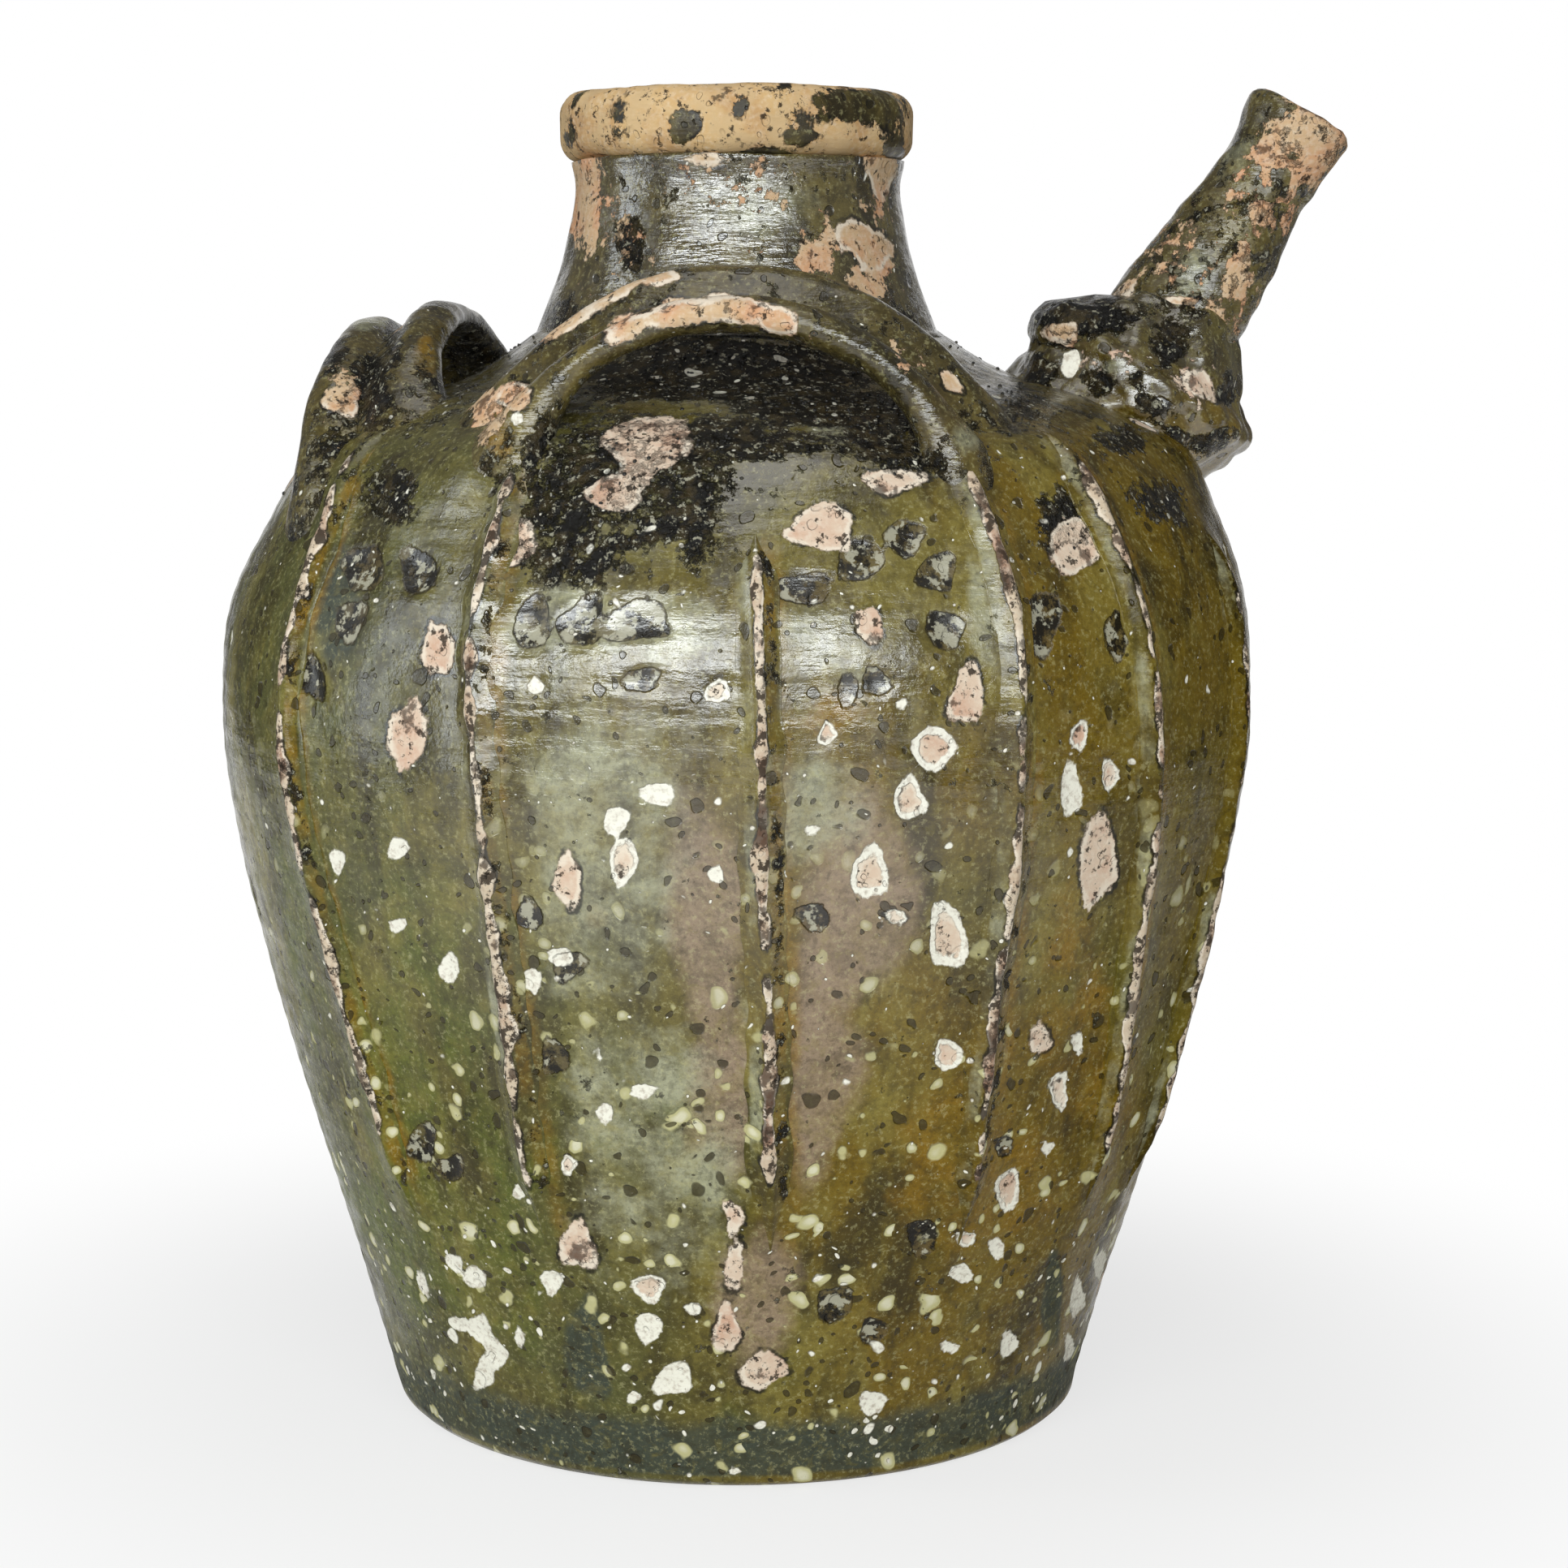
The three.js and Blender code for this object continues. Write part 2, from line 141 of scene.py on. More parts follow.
@dataclass(frozen=True)
class PhotoView:
    """The photograph's viewpoint: lengths in mm, pixels of its square frame."""

    distance: float = 982.1
    height: float = 320.8
    pitch: float = 7.55
    focal_pixels: float = 3900.0
    axis_pixel: float = 908.0
    frame_pixels: float = 1932.0
    sensor: float = 36.0

    def project(self, points: Array) -> Array:
        """Finds where points fall in the photograph.

        Args:
            points: Places in mm, one a row.

        Returns:
            Pixels across and down, one pair a row.
        """
        tilt = math.radians(self.pitch)
        ahead = points[:, 1] + self.distance
        above = points[:, 2] - self.height
        depth = ahead * math.cos(tilt) - above * math.sin(tilt)
        rise = above * math.cos(tilt) + ahead * math.sin(tilt)
        across = self.axis_pixel + self.focal_pixels * points[:, 0] / depth
        down = self.frame_pixels / 2 - self.focal_pixels * rise / depth
        return np.stack([across, down], axis=1)

    def facing(self, points: Array, normals: Array) -> Array:
        """Says how squarely points face the camera.

        Args:
            points: Places in mm, one a row.
            normals: The surface's normals there.

        Returns:
            A level from -1 to 1 for each point.
        """
        towards = np.array([0.0, -self.distance, self.height]) - points
        towards /= np.linalg.norm(towards, axis=1, keepdims=True)
        return np.einsum("ij,ij->i", towards, normals)

    def camera(self) -> None:
        """Makes the scene's camera at this viewpoint."""
        data = bpy.data.cameras.new("photo_camera")
        data.sensor_width = self.sensor
        data.lens = self.focal_pixels / self.frame_pixels * self.sensor
        data.shift_x = (self.frame_pixels / 2 - self.axis_pixel) / self.frame_pixels
        data.clip_start = 0.01
        data.clip_end = 50.0
        camera = bpy.data.objects.new("photo_camera", data)
        camera.location = (0.0, -self.distance * MM, self.height * MM)
        camera.rotation_euler = (math.radians(90.0 - self.pitch), 0.0, 0.0)
        show(camera)
        bpy.context.scene.camera = camera


VIEW = PhotoView()


class Waves:
    """Smooth unevenness of one size: a seeded sum of plane waves, about -1 to 1."""

    def __init__(self, seed: int, size: float, count: int = 28) -> None:
        """Draws the waves.

        Args:
            seed: The seed that fixes them.
            size: The usual length of a wave, in mm.
            count: How many waves are summed.
        """
        draw = np.random.default_rng(seed)
        way = draw.normal(size=(count, 3))
        way /= np.linalg.norm(way, axis=1, keepdims=True)
        self.ways = way * (2.0 * math.pi / (size * draw.uniform(0.7, 1.5, size=(count, 1))))
        self.phases = draw.uniform(0.0, 2.0 * math.pi, size=count)
        self.level = 1.0 / math.sqrt(count)

    def __call__(self, points: Array) -> Array:
        """Gives the unevenness at points in mm."""
        return np.sin(points @ self.ways.T + self.phases).sum(axis=1) * self.level


def ramp(values: Array, low: float, high: float) -> Array:
    """Runs smoothly from 0 at one value to 1 at another."""
    t = np.clip((values - low) / (high - low), 0.0, 1.0)
    return t * t * (3.0 - 2.0 * t)


class Outline:
    """A turned outline: a smooth curve through stations of radius and rise, in mm."""

    SAMPLES = 120
    BLOCK = 4000

    def __init__(self, stations: Stations, base: float = 0.0) -> None:
        """Draws the curve as a centripetal spline.

        Args:
            stations: The radius and the rise above the station below, from the bottom up.
            base: The height that the first rise counts from.
        """
        radii = np.array([station[0] for station in stations], float)
        heights = base + np.cumsum([station[1] for station in stations])
        points = np.stack([radii, heights], axis=1)
        ends = np.vstack([2 * points[0] - points[1], points, 2 * points[-1] - points[-2]])
        share = np.linspace(0.0, 1.0, self.SAMPLES, endpoint=False)[:, None]
        runs = [self._run(ends[i : i + 4], share) for i in range(len(points) - 1)]
        self.dense = np.vstack([*runs, points[-1:]])
        steps = np.linalg.norm(np.diff(self.dense, axis=0), axis=1)
        self.arcs = np.concatenate([[0.0], np.cumsum(steps)])
        along = np.gradient(self.dense, self.arcs, axis=0)
        along /= np.linalg.norm(along, axis=1, keepdims=True)
        self.normals = np.stack([along[:, 1], -along[:, 0]], axis=1)

    @staticmethod
    def _run(four: Array, share: Array) -> Array:
        """Samples the spline between the middle two of four points.

        Args:
            four: The points, one a row.
            share: Shares of the way between the middle two.

        Returns:
            The spline's points.
        """
        a, b, c, d = four
        first, middle, last = (math.sqrt(np.linalg.norm(q - p)) for p, q in ((a, b), (b, c), (c, d)))
        leave = ((b - a) / first - (c - a) / (first + middle) + (c - b) / middle) * middle
        arrive = ((c - b) / middle - (d - b) / (middle + last) + (d - c) / last) * middle
        cubic = 2 * b - 2 * c + leave + arrive
        square = -3 * b + 3 * c - 2 * leave - arrive
        return cubic * share**3 + square * share**2 + leave * share + b

    @property
    def length(self) -> float:
        """The curve's length in mm."""
        return float(self.arcs[-1])

    def at(self, arcs: Array, lift: Array | float = 0.0) -> Array:
        """Gives radius and height at lengths along the curve, lifted off it by some mm."""
        place = np.stack([np.interp(arcs, self.arcs, self.dense[:, i]) for i in (0, 1)], axis=-1)
        return place + self.slope(arcs) * np.asarray(lift)[..., None]

    def slope(self, arcs: Array) -> Array:
        """Gives the outward normal's parts along radius and height."""
        return np.stack([np.interp(arcs, self.arcs, self.normals[:, i]) for i in (0, 1)], axis=-1)

    def arc_at_height(self, height: float) -> float:
        """Gives the length along the curve at which a height is reached."""
        return float(np.interp(height, self.dense[:, 1], self.arcs))

    def height_at_radius(self, radius: float, above: float) -> float:
        """Gives the height of the curve at a radius, above a height over which it narrows."""
        upper = self.dense[self.dense[:, 1] >= above]
        return float(np.interp(-radius, -upper[:, 0], upper[:, 1]))

    def lift_of(self, points: Array) -> tuple[Array, Array]:
        """Measures points against the turned surface.

        Args:
            points: Places in mm, one a row.

        Returns:
            The distance off it, negative inside, and the nearest length along the curve.
        """
        flat = np.stack([np.hypot(points[:, 0], points[:, 1]), points[:, 2]], axis=1)
        nearest = np.empty(len(flat), int)
        for start in range(0, len(flat), self.BLOCK):
            block = flat[start : start + self.BLOCK]
            gaps = ((block[:, None, :] - self.dense[None, :, :]) ** 2).sum(axis=2)
            nearest[start : start + self.BLOCK] = gaps.argmin(axis=1)
        off = np.einsum("ij,ij->i", flat - self.dense[nearest], self.normals[nearest])
        return off, self.arcs[nearest]


def turned(azimuths: Array, flat: Array) -> Array:
    """Turns radius and height about the jar's axis: azimuths in radians from the front, towards the spout."""
    return np.stack([flat[..., 0] * np.sin(azimuths), -flat[..., 0] * np.cos(azimuths), flat[..., 1]], axis=-1)


def around(azimuths: Array, middle: Array | float) -> Array:
    """Gives how far azimuths lie from another, from minus half a turn to half a turn."""
    return np.mod(azimuths - middle + math.pi, 2.0 * math.pi) - math.pi


def show(piece: Piece) -> None:
    """Links an object to the scene."""
    bpy.context.scene.collection.objects.link(piece)


def link_mesh(name: str, vertices: Array, faces: list[tuple[int, ...]]) -> Piece:
    """Makes a smooth mesh object and links it to the scene.

    Args:
        name: The piece's name.
        vertices: Places in mm, one a row.
        faces: Each face's vertex numbers.

    Returns:
        The new object.
    """
    mesh = bpy.data.meshes.new(name)
    mesh.from_pydata((vertices * MM).tolist(), [], faces)
    mesh.shade_smooth()
    piece = bpy.data.objects.new(name, mesh)
    show(piece)
    return piece


def ring_faces(rows: int, count: int) -> list[tuple[int, ...]]:
    """Joins rings of points that follow each other with faces of four.

    Args:
        rows: How many rings there are.
        count: How many points a ring has.

    Returns:
        The faces.
    """
    pairs = [(r * count + c, r * count + (c + 1) % count) for r in range(rows - 1) for c in range(count)]
    return [(a, b, b + count, a + count) for a, b in pairs]


def chain_mesh(name: str, points: Array, layers: dict[str, Array]) -> bpy.types.Mesh:
    """Makes a mesh of one chain of edges.

    Args:
        name: The mesh's name.
        points: Its vertices in mm, one a row.
        layers: The vertices' numbers or vectors, by attribute.

    Returns:
        The mesh.
    """
    mesh = bpy.data.meshes.new(name)
    mesh.from_pydata((points * MM).tolist(), [(i, i + 1) for i in range(len(points) - 1)], [])
    for key, values in layers.items():
        kind, part = ("FLOAT", "value") if values.ndim == 1 else ("FLOAT_VECTOR", "vector")
        mesh.attributes.new(key, kind, "POINT").data.foreach_set(part, values.astype(np.float32).ravel())
    return mesh


def read_rows(rows: bpy.types.bpy_prop_collection, key: str, width: int) -> Array:
    """Reads numbers from a mesh's elements.

    Args:
        rows: The elements.
        key: The property to read.
        width: How many numbers it has.

    Returns:
        The numbers, one row an element.
    """
    flat = np.empty(len(rows) * width, np.float32)
    rows.foreach_get(key, flat)
    return flat.reshape(-1, width).astype(float)


def mesh_points(piece: Piece) -> Array:
    """Reads a piece's vertices in mm."""
    return read_rows(piece.data.vertices, "co", 3) / MM


def mesh_normals(piece: Piece) -> Array:
    """Reads a piece's vertex normals."""
    return read_rows(piece.data.vertex_normals, "vector", 3)


def move_points(piece: Piece, points: Array) -> None:
    """Writes a piece's vertices, given in mm."""
    piece.data.vertices.foreach_set("co", (points * MM).astype(np.float32).ravel())
    piece.data.update()


def roughen(piece: Piece, amount: float, seed: int, size: float, finer: float, hold: Array | float = 1.0) -> None:
    """Makes a piece uneven along its normals.

    Args:
        piece: The piece.
        amount: How far it goes in and out, in mm.
        seed: The seed of its waves.
        size: The length of its larger waves, in mm.
        finer: How many times shorter its smaller waves are.
        hold: 0 where it stays as it is, up to 1.
    """
    points = mesh_points(piece)
    lump = Waves(seed, size)(points) * 0.7 + Waves(seed + 1, size / finer)(points) * 0.3
    move_points(piece, points + mesh_normals(piece) * (amount * lump * hold)[:, None])


def face_outwards(piece: Piece) -> None:
    """Turns a closed mesh's faces outwards.

    Args:
        piece: The piece with the mesh.
    """
    mesh = piece.data
    mesh.calc_loop_triangles()
    corners = np.empty(len(mesh.loop_triangles) * 3, np.int32)
    mesh.loop_triangles.foreach_get("vertices", corners)
    a, b, c = (mesh_points(piece)[corners.reshape(-1, 3)[:, i]] for i in range(3))
    if np.einsum("ij,ij->i", a, np.cross(b, c)).sum() < 0.0:
        mesh.flip_normals()


class Painter:
    """Gathers a mesh's masks from marks and writes them as attributes."""

    CHIP_SOFTNESS = 13.0
    CHIP_RIM = 0.38
    BROAD_FADE = (1.25, 0.35)
    FACING_LIMIT = 0.06
    EDGE_SEED = 1000
    EDGE_WAVES = ((2, 0.11), (3, 0.12), (4, 0.06), (6, 0.03))

    def __init__(self, piece: Piece) -> None:
        """Starts with empty masks.

        Args:
            piece: The piece to paint.
        """
        self.piece = piece
        self.points = mesh_points(piece)
        self.normals = mesh_normals(piece)
        self.masks = {mask: np.zeros(len(self.points)) for mask in Mask}
        self.azimuths = np.arctan2(self.points[:, 0], -self.points[:, 1])
        self.pixels = VIEW.project(self.points)
        self.seen = VIEW.facing(self.points, self.normals) > self.FACING_LIMIT

    def lift(self, mask: Mask, values: Array | float, where: Array | slice = slice(None)) -> None:
        """Raises a mask to new values where they are higher."""
        self.masks[mask][where] = np.maximum(self.masks[mask][where], values)

    def _edge(self, inside: Array) -> Array:
        """Rises from 0 to 1 across a chip's soft edge."""
        return np.clip(0.5 + inside / (2.0 * self.CHIP_SOFTNESS), 0.0, 1.0)

    def blot(self, kind: Spot, number: int, along: Array, down: Array, span: float, allowed: Array) -> None:
        """Puts one mark on the masks.

        Args:
            kind: What the mark does.
            number: Its place in its list, which seeds its uneven edge.
            along: How far across its middle each vertex lies, in half widths.
            down: How far down from its middle each vertex lies, in half heights.
            span: Its lesser half size, in the photograph's pixels.
            allowed: Which vertices it may fall on.
        """
        draw = np.random.default_rng(self.EDGE_SEED + number)
        angles = np.arctan2(down, along)
        edge = np.ones_like(angles)
        for turns, amount in self.EDGE_WAVES:
            edge += amount * draw.uniform(0.4, 1.3) * np.sin(turns * angles + draw.uniform(0.0, 2.0 * math.pi))
        reach = np.hypot(along, down) * edge
        where = np.flatnonzero(allowed & (reach * span < 1.4 * span + 2.0 * self.CHIP_SOFTNESS))
        inside = (1.0 - reach[where]) * span
        chip = self._edge(inside)
        if kind is Spot.GLAZE:
            for mask in (Mask.CLAY, Mask.SLIP, Mask.WEAR):
                self.masks[mask][where] = np.minimum(self.masks[mask][where], 1.0 - chip)
        elif kind in BROAD_LEVELS:
            mask, level = BROAD_LEVELS[kind]
            self.lift(mask, level * ramp(reach[where], *self.BROAD_FADE), where)
        else:
            self.lift(CHIP_MASKS[kind], chip, where)
        if kind is Spot.CORED:
            rim = self.CHIP_RIM * np.max(inside, initial=0.0)
            self.lift(Mask.CLAY, self._edge(inside - rim), where)

    def mark_by_view(self, marks: tuple[Mark, ...]) -> None:
        """Puts marks where the photograph shows them, on what faces its camera.

        Args:
            marks: The marks, in the order that seeds their edges.
        """
        for number, mark in enumerate(marks):
            turn = math.radians(mark.turn)
            off = self.pixels - (mark.x, mark.y)
            along = (off[:, 0] * math.cos(turn) + off[:, 1] * math.sin(turn)) / (mark.width / 2.0)
            down = (off[:, 1] * math.cos(turn) - off[:, 0] * math.sin(turn)) / (mark.height / 2.0)
            self.blot(mark.kind, number, along, down, 0.5 * min(mark.width, mark.height), self.seen)

    def store(self) -> None:
        """Writes the masks to the mesh and drops the lengths used in building."""
        layers = self.piece.data.attributes
        for mask, values in self.masks.items():
            layer = layers.new(mask.value, "FLOAT", "POINT")
            layer.data.foreach_set("value", np.clip(values, 0.0, 1.0).astype(np.float32))
        if "arc" in layers:
            layers.remove(layers["arc"])


class NodeTree:
    """Adds nodes to a tree in few words."""

    def __init__(self, tree: bpy.types.NodeTree) -> None:
        """Takes the tree to add to."""
        self.tree = tree

    def add(self, kind: str, inputs: dict[str | int, object] | None = None, **settings: object) -> bpy.types.Node:
        """Adds a node.

        Args:
            kind: The node's type.
            inputs: The values of its inputs, or the sockets that feed them.
            settings: Its properties.

        Returns:
            The new node.
        """
        node = self.tree.nodes.new(kind)
        for key, value in settings.items():
            setattr(node, key, value)
        for key, value in (inputs or {}).items():
            self.put(node.inputs[key], value)
        return node

    def put(self, socket: Socket, value: object) -> None:
        """Feeds a socket.

        Args:
            socket: The input to feed.
            value: Another node's socket, or a plain value.
        """
        if isinstance(value, Socket):
            self.tree.links.new(value, socket)
        else:
            socket.default_value = value

    def math(self, operation: str, *values: object, kind: str = "ShaderNodeMath", **settings: object) -> Socket:
        """Adds a sum of one to three numbers or vectors and returns its result."""
        return self.add(kind, dict(enumerate(values)), operation=operation, **settings).outputs[0]

    def times(self, first: object, second: object) -> Socket:
        """Multiplies two numbers."""
        return self.math("MULTIPLY", first, second)

    def less(self, first: object, second: object) -> Socket:
        """Takes the second number from the first."""
        return self.math("SUBTRACT", first, second)

    def most(self, first: object, second: object) -> Socket:
        """Gives the larger of two numbers."""
        return self.math("MAXIMUM", first, second)

    def onto(self, base: object, value: object, amount: object) -> Socket:
        """Adds an amount of a value to a number."""
        return self.math("MULTIPLY_ADD", value, amount, base)

    def split(self, vector: Socket) -> tuple[Socket, ...]:
        """Splits a vector into its three parts."""
        return tuple(self.add("ShaderNodeSeparateXYZ", {0: vector}).outputs)

    def join(self, x: object, y: object, z: object) -> Socket:
        """Joins three numbers to a vector."""
        return self.add("ShaderNodeCombineXYZ", {0: x, 1: y, 2: z}).outputs[0]


class ShaderTree(NodeTree):
    """A new material with the textures and mixes of a finish, on the piece's Object coordinates."""

    def __init__(self, name: str) -> None:
        """Makes the material.

        Args:
            name: Its name.
        """
        self.material = bpy.data.materials.new(name)
        self.material.use_nodes = True
        super().__init__(self.material.node_tree)
        self.shader = self.tree.nodes["Principled BSDF"]
        self.coords = self.add("ShaderNodeTexCoord").outputs["Object"]

    def dress(self, key: str, value: object) -> None:
        """Feeds one of the shader's inputs."""
        self.put(self.shader.inputs[key], value)

    def noise(
        self, scale: float, detail: float = 4.0, rough: float = 0.55, warp: float = 0.0, at: Socket | None = None
    ) -> Socket:
        """Adds cloudy noise, scale per metre, and returns its level."""
        sizes = {"Scale": scale, "Detail": detail, "Roughness": rough, "Distortion": warp}
        return self.add("ShaderNodeTexNoise", {"Vector": at or self.coords, **sizes}).outputs["Fac"]

    def swing(self, amount: float, *noise: float) -> Socket:
        """Gives noise about zero, times an amount; the noise is given as to noise()."""
        return self.times(self.less(self.noise(*noise), 0.5), amount)

    def cells(self, at: Socket, scale: float) -> tuple[Socket, Socket]:
        """Adds scattered cells and returns the distance to a cell's middle and a random level for each."""
        node = self.add("ShaderNodeTexVoronoi", {"Vector": at, "Scale": scale})
        return node.outputs["Distance"], self.split(node.outputs["Color"])[0]

    def fade(self, value: object, low: object, high: object, start: float = 0.0, end: float = 1.0) -> Socket:
        """Maps a number smoothly from one range to another."""
        inputs = dict(enumerate((value, low, high, start, end)))
        return self.add("ShaderNodeMapRange", inputs, interpolation_type="SMOOTHSTEP").outputs[0]

    def mix(self, share: object, first: object, second: object) -> Socket:
        """Mixes two colours."""
        return self.add("ShaderNodeMix", {0: share, 6: first, 7: second}, data_type="RGBA").outputs[2]

    def blend(self, share: object, first: object, second: object) -> Socket:
        """Mixes two numbers."""
        return self.add("ShaderNodeMix", {0: share, 2: first, 3: second}, data_type="FLOAT").outputs[0]

    def shifted(self, scale: float, amount: float) -> Socket:
        """Gives the coordinates shifted by noise, by up to half an amount in metres."""
        noise = self.add("ShaderNodeTexNoise", {"Vector": self.coords, "Scale": scale}).outputs["Color"]
        return self.math("MULTIPLY_ADD", noise, (amount,) * 3, self.coords, kind="ShaderNodeVectorMath")

    def stretched(self, upright: float, at: Socket | None = None) -> Socket:
        """Squeezes coordinates along Z: a pattern on them runs upright below 1 and level above it."""
        return self.add("ShaderNodeMapping", {"Vector": at or self.coords, "Scale": (1.0, 1.0, upright)}).outputs[0]

    def mask(self, mask: Mask) -> Socket:
        """Reads one of the mesh's masks."""
        return self.add("ShaderNodeAttribute", attribute_name=mask.value).outputs["Fac"]


def tint(red: int, green: int, blue: int) -> Colour:
    """Turns a screen colour into the linear colour that a shader takes.

    Args:
        red: The red part, from 0 to 255.
        green: The green part.
        blue: The blue part.

    Returns:
        The linear colour, opaque.
    """
    parts = (value / 255.0 for value in (red, green, blue))
    linear = [p / 12.92 if p <= 0.04045 else ((p + 0.055) / 1.055) ** 2.4 for p in parts]
    return (linear[0], linear[1], linear[2], 1.0)


@dataclass(frozen=True)
class GlazeFinish:
    """A worn lead glaze over white slip and red clay, read from the mesh's masks."""

    name: str
    # The left colour is also darkened as painted shade on the left flank.
    left: Colour = tint(86, 86, 44)
    right: Colour = tint(112, 90, 18)
    bright: Colour = tint(134, 122, 58)
    deep: Colour = tint(46, 38, 12)
    high: Colour = tint(70, 60, 28)
    haze: Colour = tint(150, 129, 106)
    # Paler glaze tint, used mostly as painted sheen and reflections.
    milk: Colour = tint(164, 163, 134)
    # Brown tint of the glaze, also used as painted shade on the slopes beside the strips.
    amber: Colour = tint(132, 100, 18)
    pale_spot: Colour = tint(196, 190, 138)
    # Dull grey-blue layer, made bluish to paint the reflection beside a strip on the left flank.
    film: Colour = tint(60, 67, 58)
    green: Colour = tint(88, 96, 30)
    soot: Colour = tint(12, 10, 6)
    ash: Colour = tint(62, 52, 30)
    glint: Colour = tint(176, 172, 150)
    bed: Colour = tint(104, 88, 58)
    slip: Colour = tint(242, 238, 222)
    clay: Colour = tint(218, 194, 170)
    warm_clay: Colour = tint(206, 166, 140)
    clay_edge: Colour = tint(232, 218, 198)
    clay_stain: Colour = tint(44, 34, 24)
    stain_from: float = 0.55
    gloss: float = 0.15
    glaze_index: float = 1.85
    shine: float = 0.62
    brushing: float = 0.28
    low_shine: float = 0.09
    right_shine: float = 0.07
    left_shine: float = 0.18
    side_reach: float = 0.13
    dark_from: float = 0.288
    dark_to: float = 0.33


class GlazeTree(ShaderTree):
    """A glaze's material: the layers that its mesh's masks lay bare, their gloss and their relief."""

    def __init__(self, own: GlazeFinish) -> None:
        """Builds the material.

        Args:
            own: The finish, with its colours and levels.
        """
        super().__init__(own.name)
        self.own = own
        self.dress("IOR", own.glaze_index)
        self.warped = self.shifted(95.0, 0.008)
        self.jag = self.onto(self.swing(0.6, 170.0, 3.0), self.less(self.noise(560.0, 3.0), 0.5), 0.35)
        self.fine = self.noise(640.0, 3.0, 0.6)
        colour, pinhole, dent = self._speckle(self._tints(self._glaze()))
        soot, crust_and_glint_colour = self._soot()
        pit, dark, pit_glints = self._pit()
        clay, border, edge = self._clay()
        slip = self._slip()
        for share, layer in (
            (soot, crust_and_glint_colour),
            # Pits: a brown bed, a dark fill that is partly painted shade in the hollow, and painted glints.
            (self.times(pit, 0.6), own.bed),
            (dark, own.soot),
            (pit_glints, own.glint),
            (border, own.soot),
            (slip, self.mix(self.fade(self.fine, 0.45, 0.75, 0.0, 0.6), own.slip, own.haze)),
            (clay, self._clay_colour(edge)),
        ):
            colour = self.mix(share, colour, layer)
        self.dress("Base Color", colour)
        self._gloss(soot, slip, clay)
        self._relief(soot, ((pit, -0.6), (slip, -0.35), (clay, -0.35), (pinhole, -0.5), (dent, -0.4)))

    def _glaze(self) -> Socket:
        """Mixes the sound glaze: its drift from side to side, its blotches and its runs.

        Returns:
            The colour.
        """
        own = self.own
        x, _, z = self.split(self.coords)
        # Drift from left to right: the glaze's tone, with the left side darkened as painted shade.
        side = self.fade(x, -own.side_reach, own.side_reach)
        drift = self.math("ADD", side, self.fade(self.noise(9.0, 3.0), 0.3, 0.7, -0.35, 0.35), use_clamp=True)
        colour = self.mix(drift, own.left, own.right)
        mossy = self.times(self.fade(self.noise(15.0, 3.0), 0.48, 0.62), self.fade(z, 0.24, 0.12))
        colour = self.mix(self.times(mossy, self.less(1.0, drift)), colour, own.green)
        shadow = self.onto(z, self.less(self.noise(26.0, 4.0), 0.5), 0.06)
        colour = self.mix(self.fade(shadow, own.dark_from, own.dark_to), colour, own.high)
        blotch = self.noise(32.0, 4.0, 0.58, 0.6, self.stretched(0.45, self.warped))
        colour = self.mix(self.fade(blotch, 0.48, 0.7, 0.0, 0.75), colour, own.bright)
        runs = self.noise(46.0, 4.0, 0.6, 0.5, self.stretched(0.13))
        colour = self.mix(self.fade(runs, 0.5, 0.68, 0.0, 0.8), colour, own.deep)
        pool = self.noise(58.0, 4.0, 0.55, 0.0, self.stretched(0.6, self.warped))
        return self.mix(self.fade(pool, 0.5, 0.64, 0.0, 0.5), colour, own.deep)

    def _speckle(self, colour: Socket) -> tuple[Socket, Socket, Socket]:
        """Speckles the glaze, with pale dents low down and pinholes all over.

        Args:
            colour: The glaze's colour.

        Returns:
            The speckled colour, the pinholes and the dents.
        """
        own = self.own
        for level, dark, light, pale in (
            (self.noise(105.0, 6.0, 0.7, 0.0, self.warped), 0.3, 0.24, own.bright),
            (self.noise(240.0, 5.0, 0.72, 0.0, self.warped), 0.3, 0.24, own.bright),
            (self.noise(620.0, 4.0, 0.72), 0.26, 0.26, own.pale_spot),
        ):
            colour = self.mix(self.fade(level, 0.52, 0.62, 0.0, dark), colour, own.deep)
            colour = self.mix(self.fade(level, 0.46, 0.36, 0.0, light), colour, pale)
        low = self.fade(self.split(self.coords)[2], 0.25, 0.09, 0.0, 0.9)
        pinhole: object = 0.0
        dent: object = 0.0
        for scale, rarity, widest in ((84.0, 0.4, 0.33), (150.0, 0.4, 0.38)):
            distance, level = self.cells(self.warped, scale)
            depth = self.less(self.fade(level, rarity, 1.0, 0.0, widest), distance)
            spot = self.times(self.fade(depth, 0.0, 0.07), low)
            colour = self.mix(spot, colour, own.pale_spot)
            colour = self.mix(self.times(self.fade(depth, 0.08, 0.22, 0.0, 0.5), low), colour, own.slip)
            dent = self.most(dent, spot)
            hole, chance = self.cells(self.warped, 1.9 * scale)
            width = self.fade(chance, 0.62, 1.0, 0.0, 0.37)
            pinhole = self.most(pinhole, self.fade(self.less(width, hole), 0.0, 0.08))
        return self.mix(self.times(pinhole, 0.8), colour, own.deep), pinhole, dent

    def _tints(self, colour: Socket) -> Socket:
        """Lays the soft tints over the glaze: a dull grey layer, partly a painted reflection; mauve haze; a brown
        tint that also paints shade beside the strips; and a milky tint that mostly paints sheen and reflections.

        Args:
            colour: The glaze's colour.

        Returns:
            The tinted colour.
        """
        own = self.own
        cloud = self.noise(58.0, 5.0, 0.65)
        for mask, layer, spread, thinnest in (
            (Mask.FILM, own.film, 0.6, 0.8),
            (Mask.HAZE, own.haze, 0.6, 0.7),
            (Mask.AMBER, own.amber, 0.9, 0.4),
            (Mask.MILK, own.milk, 0.9, 0.4),
        ):
            stray = self.onto(self.times(self.jag, 0.5), self.less(cloud, 0.5), spread)
            level = self.math("ADD", self.mask(mask), stray)
            share = self.times(self.fade(level, 0.25, 0.75), self.fade(cloud, 0.3, 0.66, thinnest, 0.95))
            colour = self.mix(share, colour, layer)
        return colour

